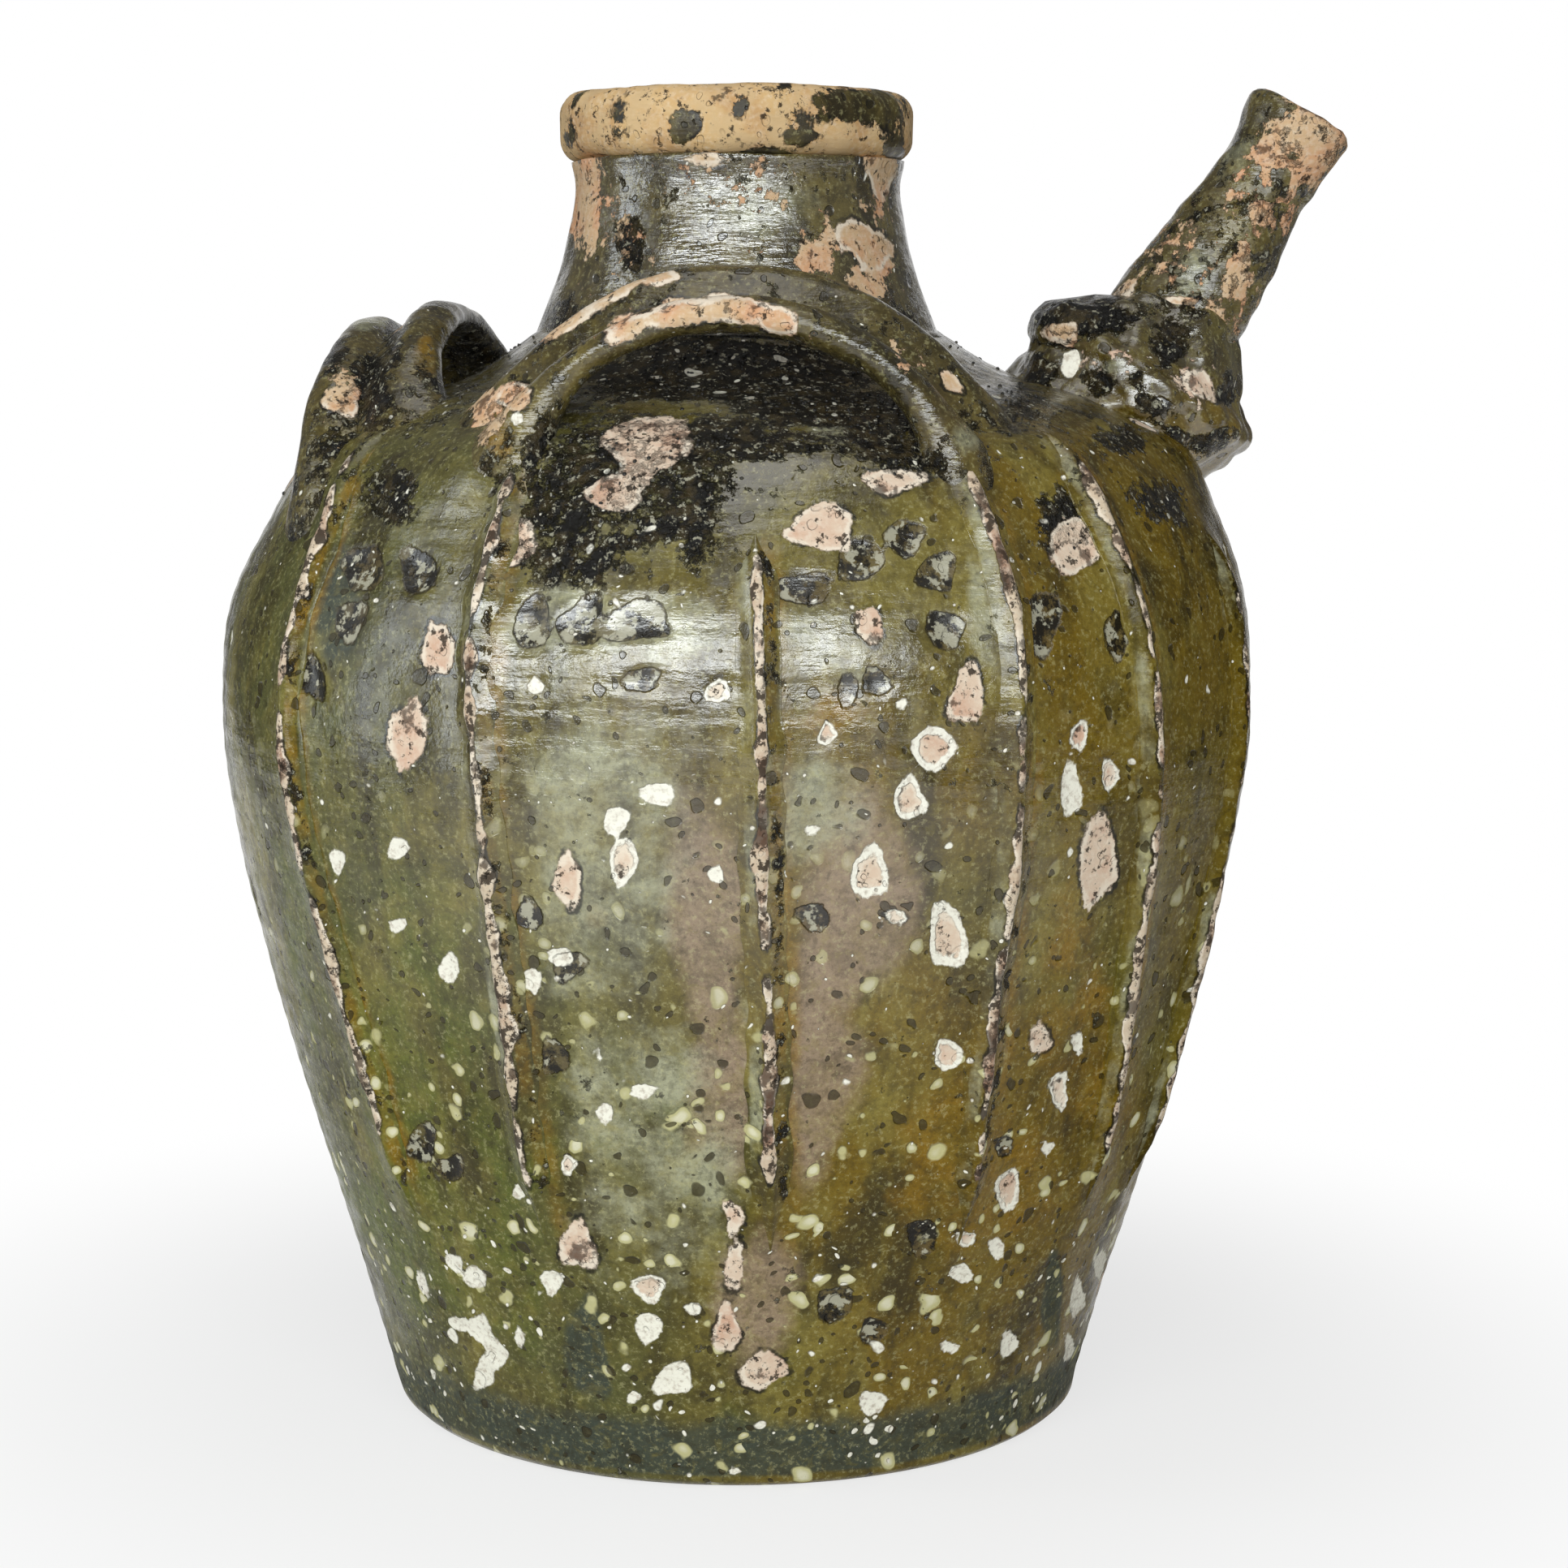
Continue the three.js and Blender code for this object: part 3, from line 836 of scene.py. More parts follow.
    def _soot(self) -> tuple[Socket, Socket]:
        """Finds the black crust, broken up inside its mask.

        Returns:
            Where the crust and its painted shade lie, and their colour with painted glints.
        """
        own = self.own
        lean = self.math("ADD", self.mask(Mask.SOOT), self.swing(1.5, 62.0, 6.0, 0.68, 0.4))
        lean = self.math("ADD", lean, self.swing(2.0, 230.0, 5.0, 0.7))
        colour = self.mix(self.fade(self.noise(200.0, 4.0), 0.46, 0.66), own.soot, own.ash)
        # Painted glints: pale specks of highlight on the crust.
        colour = self.mix(self.fade(self.noise(460.0, 4.0, 0.7), 0.57, 0.64, 0.0, 0.8), colour, own.glint)
        return self.fade(lean, 0.38, 0.64), colour

    def _pit(self) -> tuple[Socket, Socket, Socket]:
        """Finds the pits.

        Returns:
            The pits, their dark fill (grime and painted shade in the hollows) and the painted glints on their beds.
        """
        level = self.onto(self.mask(Mask.PIT), self.jag, 0.6)
        pit = self.fade(level, 0.44, 0.56)
        dirt_and_shade = self.fade(self.noise(170.0, 5.0, 0.7), 0.6, 0.47, 0.15, 0.95)
        glint_spread = self.fade(self.noise(210.0, 4.0, 0.65), 0.51, 0.57, 0.0, 0.85)
        return pit, self.times(pit, dirt_and_shade), self.times(self.fade(level, 0.5, 0.62), glint_spread)

    def _slip(self) -> Socket:
        """Finds the white slip: the mask's chips, and specks where they lie thick.

        Returns:
            Where the slip shows.
        """
        # The specks are partly white slip and partly painted glints.
        thick = self.mask(Mask.SPECK)
        chip = self.fade(self.onto(self.mask(Mask.SLIP), self.jag, 0.5), 0.46, 0.54)
        for scale, rare, widest in ((115.0, 0.5, 0.34), (290.0, 0.5, 0.38)):
            distance, level = self.cells(self.warped, scale)
            reach = self.times(self.fade(level, rare, 1.0, 0.0, widest), thick)
            chip = self.most(chip, self.fade(self.less(reach, distance), 0.0, 0.06))
        return chip

    def _clay(self) -> tuple[Socket, Socket, Socket]:
        """Finds the bare clay, as patches and as scattered flecks.

        Returns:
            Where the clay shows, and the patches' dark border and pale edge.
        """
        level = self.onto(self.mask(Mask.CLAY), self.jag, 0.75)
        chip = self.fade(level, 0.46, 0.56)
        border = self.times(self.fade(level, 0.3, 0.42), self.fade(self.noise(130.0), 0.42, 0.58, 0.0, 0.85))
        spread = self.swing(1.7, 220.0, 6.0, 0.7)
        drift = self.onto(spread, self.less(self.noise(55.0, 3.0), 0.5), 0.7)
        fleck = self.fade(self.math("ADD", self.mask(Mask.WEAR), drift), 0.48, 0.56)
        edge = self.times(self.fade(level, 0.78, 0.62), self.fade(self.noise(90.0), 0.42, 0.54, 0.1, 0.9))
        return self.most(chip, fleck), border, self.times(edge, chip)

    def _clay_colour(self, edge: Socket) -> Socket:
        """Mixes the bare clay's colour: warm drift, grain, pale edge and dark stains.

        Args:
            edge: The patches' pale edge.

        Returns:
            The colour.
        """
        own = self.own
        stain = own.stain_from
        colour = self.mix(self.fade(self.noise(60.0, 4.0, 0.6), 0.42, 0.66), own.clay, own.warm_clay)
        colour = self.mix(self.fade(self.fine, 0.38, 0.8, 0.0, 0.3), colour, own.slip)
        colour = self.mix(edge, colour, own.clay_edge)
        fleck = self.fade(self.noise(300.0, 5.0, 0.7), stain, stain + 0.06, 0.0, 0.92)
        blot = self.fade(self.noise(120.0, 5.0, 0.66), stain + 0.02, stain + 0.09, 0.0, 0.75)
        return self.mix(self.most(fleck, blot), colour, own.clay_stain)

    def _gloss(self, soot: Socket, slip: Socket, clay: Socket) -> None:
        """Sets the gloss: glossy glaze, duller crust, matt slip, clay and film.

        Args:
            soot: Where the crust and painted shade lie.
            slip: Where the slip shows.
            clay: Where the clay shows.
        """
        own = self.own
        rough = self.fade(self.noise(120.0, 5.0, 0.6), 0.35, 0.7, own.gloss, own.gloss + 0.22)
        for share, level in ((self.mask(Mask.FILM), 0.6), (soot, 0.17), (slip, 0.6), (clay, 0.85)):
            rough = self.blend(share, rough, level)
        self.dress("Roughness", rough)
        x, _, z = self.split(self.coords)
        shine = self.fade(z, 0.1, 0.25, own.low_shine, own.shine)
        shine = self.times(shine, self.fade(x, 0.03, 0.13, 1.0, own.right_shine))
        shine = self.times(shine, self.fade(x, -0.06, -0.14, 1.0, own.left_shine))
        shine = self.blend(clay, self.blend(soot, shine, 0.12), 0.1)
        self.dress("Specular IOR Level", shine)

    def _relief(self, soot: Socket, depths: tuple[tuple[Socket, float], ...]) -> None:
        """Sets the bump, in mm: chips and pits go in, crust stands out, glaze ripples.

        Args:
            soot: Where the crust and painted shade lie.
            depths: Each layer that goes in or out, and how far.
        """
        own = self.own
        height = self.times(self.noise(62.0, 4.0, 0.6, 0.0, self.stretched(5.0)), own.brushing)
        height = self.onto(height, self.noise(75.0, 3.0), 0.32)
        height = self.onto(height, self.noise(260.0, 5.0, 0.68), 0.24)
        crust = self.times(soot, self.noise(210.0, 5.0, 0.68))
        for layer, depth in ((crust, 3.4), *depths):
            height = self.onto(height, layer, depth)
        bump = self.add("ShaderNodeBump", {"Strength": 1.0, "Distance": MM, "Height": height})
        self.dress("Normal", bump.outputs[0])


OLIVE = GlazeFinish("olive_glaze")
RIDGE = replace(OLIVE, name="ridge_glaze", clay=tint(204, 184, 158), warm_clay=tint(168, 128, 104), stain_from=0.5)
DARK = replace(
    OLIVE, name="dark_glaze", low_shine=0.36, right_shine=1.0, left_shine=1.0, shine=0.36, brushing=0.55,
    left=tint(92, 82, 46), right=tint(88, 72, 34), bright=tint(122, 108, 54), deep=tint(34, 29, 13),
    high=tint(82, 71, 38), clay=tint(204, 172, 134), warm_clay=tint(208, 154, 114), stain_from=0.575,
)
BARE = replace(
    DARK, name="bare_clay", high=tint(58, 49, 28), clay=tint(210, 174, 122), warm_clay=tint(192, 150, 102),
    clay_edge=tint(206, 176, 132), gloss=0.3, shine=0.2,
)
NECK = replace(DARK, name="neck_glaze", gloss=0.11, shine=0.85, low_shine=0.85, brushing=0.75)
SOCKET = replace(OLIVE, name="socket_glaze", low_shine=0.5, right_shine=1.0, left_shine=1.0)


@cache
def finish_of(glaze: GlazeFinish) -> bpy.types.Material:
    """Gives a finish's material, made once."""
    return GlazeTree(glaze).material


class GeometryTree(NodeTree):
    """A Geometry Nodes tree with named inputs that ends in realized, dressed geometry."""

    def __init__(self, name: str, inputs: dict[str, str]) -> None:
        """Makes the tree.

        Args:
            name: The tree's name.
            inputs: Each input's name and type, after the geometry.
        """
        super().__init__(bpy.data.node_groups.new(name, "GeometryNodeTree"))
        face = self.tree.interface
        for key, kind in {"Geometry": "Geometry", **inputs, "Finish": "Material"}.items():
            face.new_socket(key, in_out="INPUT", socket_type="NodeSocket" + kind)
        face.new_socket("Geometry", in_out="OUTPUT", socket_type="NodeSocketGeometry")
        self.inputs = self.add("NodeGroupInput").outputs

    def position(self) -> Socket:
        """Reads the geometry's places."""
        return self.add("GeometryNodeInputPosition").outputs[0]

    def named(self, name: str, kind: str = "FLOAT") -> Socket:
        """Reads an attribute of the geometry."""
        return self.add("GeometryNodeInputNamedAttribute", {"Name": name}, data_type=kind).outputs["Attribute"]

    def close(self, geometry: Socket) -> None:
        """Ends the tree: smooth shading, realized instances and the finish.

        Args:
            geometry: What the tree has made.
        """
        smooth = self.add("GeometryNodeSetShadeSmooth", {"Geometry": geometry})
        real = self.add("GeometryNodeRealizeInstances", {"Geometry": smooth.outputs[0]})
        dressed = {"Geometry": real.outputs[0], "Material": self.inputs["Finish"]}
        self.add("NodeGroupOutput", {0: self.add("GeometryNodeSetMaterial", dressed).outputs[0]})

    def run(self, name: str, source: bpy.types.Mesh, values: dict[str, object]) -> Piece:
        """Runs the tree on a mesh and keeps the result as a plain mesh.

        Args:
            name: The new piece's name.
            source: The mesh that goes in.
            values: The inputs' values by name.

        Returns:
            The new object.
        """
        carrier = bpy.data.objects.new(name + "_source", source)
        show(carrier)
        modifier = carrier.modifiers.new(self.tree.name, "NODES")
        modifier.node_group = self.tree
        sockets = [item for item in self.tree.interface.items_tree if item.item_type == "SOCKET"]
        keys = {item.name: item.identifier for item in sockets if item.in_out == "INPUT"}
        for key, value in values.items():
            modifier[keys[key]] = value
        graph = bpy.context.evaluated_depsgraph_get()
        mesh = bpy.data.meshes.new_from_object(carrier.evaluated_get(graph))
        carrier.modifiers.remove(modifier)
        bpy.data.objects.remove(carrier)
        mesh.name = name
        piece = bpy.data.objects.new(name, mesh)
        show(piece)
        return piece


class TurningTree(GeometryTree):
    """Turns a closed profile about the jar's axis: one ring of vertices for each profile vertex."""

    SEAM_WELD = 1e-6

    def __init__(self) -> None:
        """Builds the tree."""
        super().__init__("turning", {"Columns": "Int"})
        count = self.add("GeometryNodeAttributeDomainSize", {0: self.inputs["Geometry"]}).outputs["Point Count"]
        columns = self.math("ADD", self.inputs["Columns"], 1.0)
        sizes = {"Size X": 1.0, "Size Y": 1.0, "Vertices X": columns, "Vertices Y": count}
        grid = self.add("GeometryNodeMeshGrid", sizes).outputs["Mesh"]
        across, up, _ = self.split(self.position())
        row = self.math("ROUND", self.times(self.math("ADD", up, 0.5), self.less(count, 1.0)))
        arc = {"Geometry": grid, "Name": "arc", "Value": self._sample(row, self.named("arc"), "FLOAT")}
        kept = self.add("GeometryNodeStoreNamedAttribute", arc, data_type="FLOAT", domain="POINT").outputs[0]
        radius, _, height = self.split(self._sample(row, self.position(), "FLOAT_VECTOR"))
        azimuth = self.times(across, 2.0 * math.pi)
        forward = self.times(radius, self.math("COSINE", azimuth))
        ring = self.join(self.times(radius, self.math("SINE", azimuth)), self.times(forward, -1.0), height)
        turn = self.add("GeometryNodeSetPosition", {"Geometry": kept, "Position": ring}).outputs[0]
        weld = self.add("GeometryNodeMergeByDistance", {"Geometry": turn, "Distance": self.SEAM_WELD})
        self.close(weld.outputs[0])

    def _sample(self, row: Socket, value: Socket, kind: str) -> Socket:
        """Reads a value of the profile's vertex that a row stands for."""
        inputs = {"Geometry": self.inputs["Geometry"], "Value": value, "Index": row}
        return self.add("GeometryNodeSampleIndex", inputs, data_type=kind, domain="POINT").outputs[0]

    def turn(
        self, name: str, profile: Array, columns: int, glaze: GlazeFinish, arcs: Array | None = None
    ) -> Piece:
        """Turns a profile into a piece.

        Args:
            name: The piece's name.
            profile: Radius and height in mm: up the outside and down the inside.
            columns: How many columns go round.
            glaze: The piece's finish.
            arcs: Each profile vertex's length along the outline, or -1.

        Returns:
            The new object, with the lengths as its attribute arc.
        """
        nought = np.zeros(len(profile))
        flat = np.stack([profile[:, 0], nought, profile[:, 1]], axis=1)
        mesh = chain_mesh(name + "_profile", flat, {"arc": nought if arcs is None else arcs})
        piece = self.run(name, mesh, {"Columns": columns, "Finish": finish_of(glaze)})
        face_outwards(piece)
        return piece


class StripTree(GeometryTree):
    """Lays a ridge along paths: steep to its crest, hollow on its slopes and flat below."""

    SECTION_FOOT = -1e-4

    def __init__(self) -> None:
        """Builds the tree."""
        sizes = dict.fromkeys(("Width", "Height", "Root", "Sharpness"), "Float")
        super().__init__("strip", {**sizes, "Points": "Int"})
        path = self.add("GeometryNodeMeshToCurve", {"Mesh": self.inputs["Geometry"]}).outputs[0]
        outward = {"Curve": path, "Normal": self.named("outward", "FLOAT_VECTOR")}
        path = self.add("GeometryNodeSetCurveNormal", outward, mode="FREE").outputs[0]
        circle = {"Resolution": self.inputs["Points"], "Radius": 1.0}
        loop = self.add("GeometryNodeCurvePrimitiveCircle", circle).outputs[0]
        x, y, _ = self.split(self.position())
        slope = self.math("SUBTRACT", 1.0, self.math("ABSOLUTE", x), use_clamp=True)
        crest = self.times(self.math("POWER", slope, self.inputs["Sharpness"]), self.inputs["Height"])
        upper = self.math("GREATER_THAN", y, self.SECTION_FOOT)
        below = self.times(self.less(1.0, upper), self.times(self.inputs["Root"], -1.0))
        lift = self.math("ADD", self.times(upper, crest), below)
        place = self.join(lift, self.times(x, self.times(self.inputs["Width"], 0.5)), 0.0)
        section = self.add("GeometryNodeSetPosition", {"Geometry": loop, "Position": place}).outputs[0]
        swept = {"Curve": path, "Profile Curve": section, "Scale": self.named("taper"), "Fill Caps": True}
        self.close(self.add("GeometryNodeCurveToMesh", swept).outputs[0])


class CrumbTree(GeometryTree):
    """Scatters crumbs of crust over a mesh, thickest where its soot mask is highest."""

    def __init__(self) -> None:
        """Builds the tree."""
        sizes = dict.fromkeys(("Density", "Smallest", "Largest"), "Float")
        super().__init__("crumbs", {**sizes, "Seed": "Int"})
        seed = self.inputs["Seed"]
        density = self.times(self.math("POWER", self.named(Mask.SOOT.value), 2.0), self.inputs["Density"])
        strewn = {"Mesh": self.inputs["Geometry"], "Density": density, "Seed": seed}
        spread = self.add("GeometryNodeDistributePointsOnFaces", strewn).outputs
        crumb = self.add("GeometryNodeMeshIcoSphere", {"Radius": 1.0, "Subdivisions": 1}).outputs[0]
        ends = {"Min": self.join(*[self.inputs["Smallest"]] * 3), "Max": self.join(*[self.inputs["Largest"]] * 3)}
        size = self.add("FunctionNodeRandomValue", {**ends, "Seed": seed}, data_type="FLOAT_VECTOR").outputs[0]
        put_down = {"Points": spread["Points"], "Instance": crumb, "Rotation": spread["Rotation"], "Scale": size}
        self.close(self.add("GeometryNodeInstanceOnPoints", put_down).outputs[0])


def fit(piece: Piece, slot: Slot, *nodes: str) -> Piece:
    """Puts a finished piece in the frame.

    Args:
        piece: The piece.
        slot: Not used.
        nodes: The CAD nodes that it stands for.

    Returns:
        The same piece.
    """
    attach(piece, BODY)
    if nodes:
        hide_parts(*nodes)
    LOG.info("%s: %d vertices, %d faces", piece.name, len(piece.data.vertices), len(piece.data.polygons))
    return piece


@dataclass(frozen=True)
class StripPath:
    """A raised strip: its drop below the neck's root, its azimuths in degrees, its lead under a handle's foot."""

    drop: float
    start: float
    end: float
    lead: float = 0.0


BODY_MARKS = marks({
    Spot.SLIP: (
        (809, 979, 42, 30), (759, 1012, 31, 36), (882, 1078, 20, 20), (1320, 975, 27, 62), (553, 1193, 26, 38),
        (490, 1046, 26, 28), (690, 1180, 30, 26), (655, 1208, 26, 30), (793, 1345, 30, 20), (745, 1373, 22, 26),
        (680, 1580, 25, 32), (853, 1613, 22, 16), (798, 1637, 30, 42), (830, 1700, 50, 38), (566, 1632, 22, 20),
        (592, 1640, 26, 44, -25), (610, 1666, 26, 40, -20), (596, 1692, 20, 44, 8), (640, 1648, 12, 26),
        (560, 1556, 18, 26, -30), (584, 1574, 34, 24, 35), (520, 1582, 12, 30, -25), (640, 1468, 15, 20),
        (780, 1722, 18, 16), (1075, 1728, 38, 26), (1185, 1570, 26, 26), (1228, 1538, 20, 27), (1290, 1416, 15, 20),
        (1328, 1286, 16, 25), (1357, 1560, 16, 40), (1328, 1600, 17, 46), (1243, 1655, 20, 34), (1318, 1660, 13, 30),
        (1338, 1670, 14, 42), (1522, 880, 10, 28), (415, 1060, 20, 30), (490, 1140, 22, 20), (660, 845, 22, 22),
        (1113, 868, 18, 13), (1170, 1660, 24, 16), (905, 1812, 14, 14), (735, 1300, 12, 16), (1000, 1022, 20, 14),
    ),
    Spot.CORED: (
        (768, 1062, 36, 58), (1150, 922, 52, 56), (1121, 986, 44, 46), (1073, 1075, 44, 68), (1168, 1155, 50, 78),
        (1330, 908, 22, 36), (1368, 955, 20, 38), (800, 1587, 44, 30), (1242, 1466, 34, 46), (1190, 1527, 25, 20),
        (1305, 1343, 24, 42), (1168, 1300, 34, 40), (885, 852, 34, 28), (1020, 905, 26, 26), (1105, 1130, 26, 20),
        (700, 1435, 22, 25),
    ),
    Spot.CLAY: (
        (700, 1085, 36, 64), (1192, 858, 46, 72), (1072, 770, 34, 50), (1013, 650, 86, 54), (1100, 592, 66, 34),
        (800, 545, 112, 64, -10), (786, 576, 50, 56), (757, 608, 64, 48), (635, 670, 50, 58), (540, 800, 38, 72),
        (503, 905, 46, 90), (1352, 1060, 46, 112), (1325, 672, 62, 76, 20), (712, 1535, 40, 64),
        (1280, 1278, 26, 40), (905, 1500, 27, 40), (905, 1560, 24, 60), (895, 1640, 36, 56), (940, 1688, 58, 40),
    ),
    Spot.PIT: (
        (655, 767, 48, 62), (718, 767, 55, 62), (785, 765, 74, 55), (790, 838, 46, 31), (515, 703, 50, 53),
        (447, 700, 48, 60), (430, 765, 38, 50), (385, 835, 31, 55), (1285, 765, 48, 70), (1378, 780, 34, 60),
        (1155, 705, 48, 48), (990, 725, 67, 41), (1060, 690, 62, 48), (1115, 662, 50, 43), (1165, 775, 50, 48),
        (1080, 840, 34, 36), (1045, 850, 26, 41), (1137, 1524, 41, 41), (1028, 1608, 41, 48), (1003, 1130, 41, 36),
        (652, 1128, 36, 36), (683, 1303, 34, 46), (1237, 1412, 29, 24), (700, 1190, 43, 34), (520, 1410, 36, 48),
        (555, 1440, 31, 34), (1075, 1640, 31, 36),
    ),
    # The last mark paints a bluish reflection beside a strip on the left flank; the others are a dull grey layer.
    Spot.FILM: ((722, 1664, 64, 150), (1297, 1600, 28, 170), (412, 735, 70, 220)),
    Spot.AMBER: (
        (735, 1130, 44, 50), (855, 1400, 50, 56), (1105, 1475, 48, 44), (1200, 1440, 240, 320),
        (1330, 1250, 150, 520), (1030, 880, 120, 60),
    ),
    Spot.HAZE: (
        (1050, 1120, 180, 420, 8), (1000, 1330, 150, 340, 8), (870, 1120, 130, 420), (890, 1350, 110, 300),
        (930, 1600, 130, 260),
    ),
    # Painted sheen and reflections: the glare across the belly, the lit middle below it and the lit slopes beside
    # the strips.
    Spot.MILK: (
        (1042, 535, 100, 38), (840, 775, 190, 130), (700, 770, 210, 130), (1030, 785, 190, 120),
        (1210, 760, 50, 200, -6), (1225, 1250, 40, 240, 4), (750, 1030, 330, 500), (1010, 1000, 150, 200),
        (800, 1420, 300, 480),
    ),
    # Painted shade: the dark under and beside the front handle's arch.
    Spot.BLACK: ((1010, 500, 340, 60), (880, 470, 420, 70), (895, 444, 350, 70), (650, 560, 60, 60)),
    # Crust round the front handle; the marks under the arch's right half also paint its shade.
    Spot.SOOT: (
        (1100, 535, 190, 100), (960, 545, 200, 60), (730, 600, 300, 230), (640, 570, 90, 120), (700, 690, 130, 60),
        (830, 600, 160, 160), (700, 690, 190, 80), (850, 650, 100, 110), (650, 540, 100, 130), (920, 540, 200, 70),
        (1120, 560, 120, 60), (480, 605, 90, 90), (1310, 640, 90, 80, 30), (1430, 620, 110, 60, 35),
        (1380, 545, 80, 60), (1245, 500, 110, 90), (745, 655, 190, 70), (690, 620, 110, 90), (850, 560, 120, 90),
    ),
})


@dataclass
class JarBody:
    """The thrown body with its chips, pits and soot: sizes in mm, angles in degrees."""

    turning: TurningTree
    stations: Stations = (
        (108.2, 5.5), (119.5, 41.5), (138.0, 63.0), (154.5, 71.0), (158.2, 36.0), (154.6, 32.0),
        (144.5, 24.0), (130.0, 22.5), (108.0, 13.5), (82.0, 8.5), (61.5, 13.0),
    )
    foot: Stations = ((0.0, 0.0), (40.0, 0.0), (80.0, 0.0), (102.0, 0.0), (105.2, 0.9), (107.2, 2.8))
    belly_height: float = 217.0
    wall: float = 10.0
    floor: float = 14.0
    inner_low: float = 8.0
    inner_high: float = 6.0
    columns: int = 430
    rows: int = 186
    inner_rows: int = 22
    slow_swell: float = 0.9
    quick_swell: float = 0.22
    ring_depth: float = 0.09
    ring_spacing: float = 7.5
    chip_depth: float = 0.55
    pit_depth: float = 0.9
    skirt_height: float = 2.0
    skirt_reach: float = 9.0
    lean_height: float = 280.0
    lean_reach: float = 34.0
    lean: float = 2.6
    speck_top: float = 120.0
    film_top: float = 34.0
    mound_height: float = 2.6
    mound_reach: float = 15.0
    mounds: Stations = (
        (-33.0, 297.0), (33.0, 297.0), (-124.0, 297.0), (-60.0, 297.0),
        (147.0, 297.0), (213.0, 297.0), (78.0, 292.0), (100.0, 292.0),
    )
    hidden_marks: int = 230
    hidden_from: float = 72.0
    hidden_to: float = 288.0
    hidden_reach: float = 0.86
    pixels_per_mm: float = 4.7
    seed: int = 11
    strips: tuple[StripPath, ...] = tuple(
        StripPath(*place)
        for place in (
            (55.5, 1.5, 4.0), (46.5, 27.3, 28.8, 18.0), (30.5, 42.5, 51.5), (60.5, 66.0, 63.5),
            (60.5, 114.0, 113.0), (34.5, 132.0, 128.0), (46.5, 151.0, 152.0, 18.0), (55.5, 180.0, 181.0),
            (46.5, 209.0, 208.0, 18.0), (42.5, 238.0, 242.0, 18.0), (40.5, 305.5, 314.0, 18.0),
            (46.5, 333.3, 335.8, 18.0),
        )
    )
    strip_bottom: float = 72.0

    def __post_init__(self) -> None:
        """Draws the outline and the unevenness."""
        self.outline = Outline(self.stations)
        self.top = float(self.outline.dense[-1, 1])
        self.slow = Waves(self.seed, 150.0)
        self.middling = Waves(self.seed + 1, 38.0)

    def profile(self) -> tuple[Array, Array]:
        """Gives the closed profile and its lengths along the outline.

        Returns:
            Radius and height in mm, and the length along the outline or -1.
        """
        arcs = np.linspace(0.0, self.outline.length, self.rows + 1)
        inner = self.outline.at(np.linspace(self.outline.length, 0.0, self.inner_rows), -self.wall)
        inner = inner[(inner[:, 1] > self.floor + self.inner_low) & (inner[:, 1] < self.top - self.inner_high)]
        lip = (self.stations[-1][0] - self.wall, self.top)
        low = inner[-1, 0]
        base = [(low - 3.0, self.floor + 3.0), (low - 10.0, self.floor), (0.0, self.floor)]
        inside = np.vstack([lip, inner, base])
        profile = np.vstack([self.foot, self.outline.at(arcs), inside])
        return profile, np.concatenate([np.full(len(self.foot), -1.0), arcs, np.full(len(inside), -1.0)])

    def strip_place(self, strip: StripPath, share: Array) -> tuple[Array, Array]:
        """Places points along a strip.

        Args:
            strip: The strip.
            share: Shares of its length, from its top down.

        Returns:
            Azimuths in radians and lengths along the outline.
        """
        top = self.outline.arc_at_height(self.top - strip.drop)
        bottom = self.outline.arc_at_height(self.strip_bottom)
        return np.radians(strip.start + (strip.end - strip.start) * share), top + (bottom - top) * share

    def off_strip(self, strip: StripPath, azimuths: Array, arcs: Array) -> tuple[Array, Array]:
        """Measures points against a strip.

        Args:
            strip: The strip.
            azimuths: The points' azimuths in radians.
            arcs: Their lengths along the outline.

        Returns:
            How far they lie across it, in mm, and how fully it stands where they are.
        """
        path_azimuths, path_arcs = self.strip_place(strip, np.linspace(1.0, 0.0, 160))
        across = around(azimuths, np.interp(arcs, path_arcs, path_azimuths)) * self.outline.at(arcs)[..., 0]
        low, high = path_arcs[0], path_arcs[-1]
        return across, ramp(arcs, low - 18.0, low + 25.0) * ramp(arcs, high + 14.0, high - 10.0)

    def swell(self, azimuths: Array, arcs: Array) -> Array:
        """Gives how far the surface stands off its outline: waves, throwing rings, strip skirts, lean and mounds.

        Args:
            azimuths: The points' azimuths in radians.
            arcs: Their lengths along the outline.

        Returns:
            The distances in mm.
        """
        flat = self.outline.at(arcs)
        points = turned(azimuths, flat)
        total = self.slow_swell * self.slow(points) + self.quick_swell * self.middling(points)
        total += self.ring_depth * np.sin(arcs * (2.0 * math.pi / self.ring_spacing) + 2.0 * np.sin(azimuths))
        for strip in self.strips:
            across, stands = self.off_strip(strip, azimuths, arcs)
            total += self.skirt_height * stands * np.exp(-((across / self.skirt_reach) ** 2))
        off = (flat[..., 1] - self.lean_height) / self.lean_reach
        total += self.lean * (np.sin(azimuths) + 0.2) * np.exp(-(off**2))
        for azimuth, height in self.mounds:
            across = around(azimuths, math.radians(azimuth)) * flat[..., 0]
            apart = np.hypot(across, arcs - self.outline.arc_at_height(height)) / self.mound_reach
            total += self.mound_height * np.exp(-(apart**2))
        return total

    def smeared(self, points: Array, normals: Array, reach: float, spread: float) -> Array:
        """Spreads the foot of a piece out over the body.

        Args:
            points: The piece's vertices in mm.
            normals: The vertices' normals.
            reach: How far off the body the spread starts, in mm.
            spread: How far the foot spreads at the body, in mm.

        Returns:
            The moved vertices.
        """
        lift, arc = self.outline.lift_of(points)
        outward = turned(np.arctan2(points[:, 0], -points[:, 1]), self.outline.slope(arc))
        level = normals - outward * np.einsum("ij,ij->i", normals, outward)[:, None]
        amount = spread * np.clip(1.0 - lift / reach, 0.0, 1.15) ** 2
        return points + level * amount[:, None]

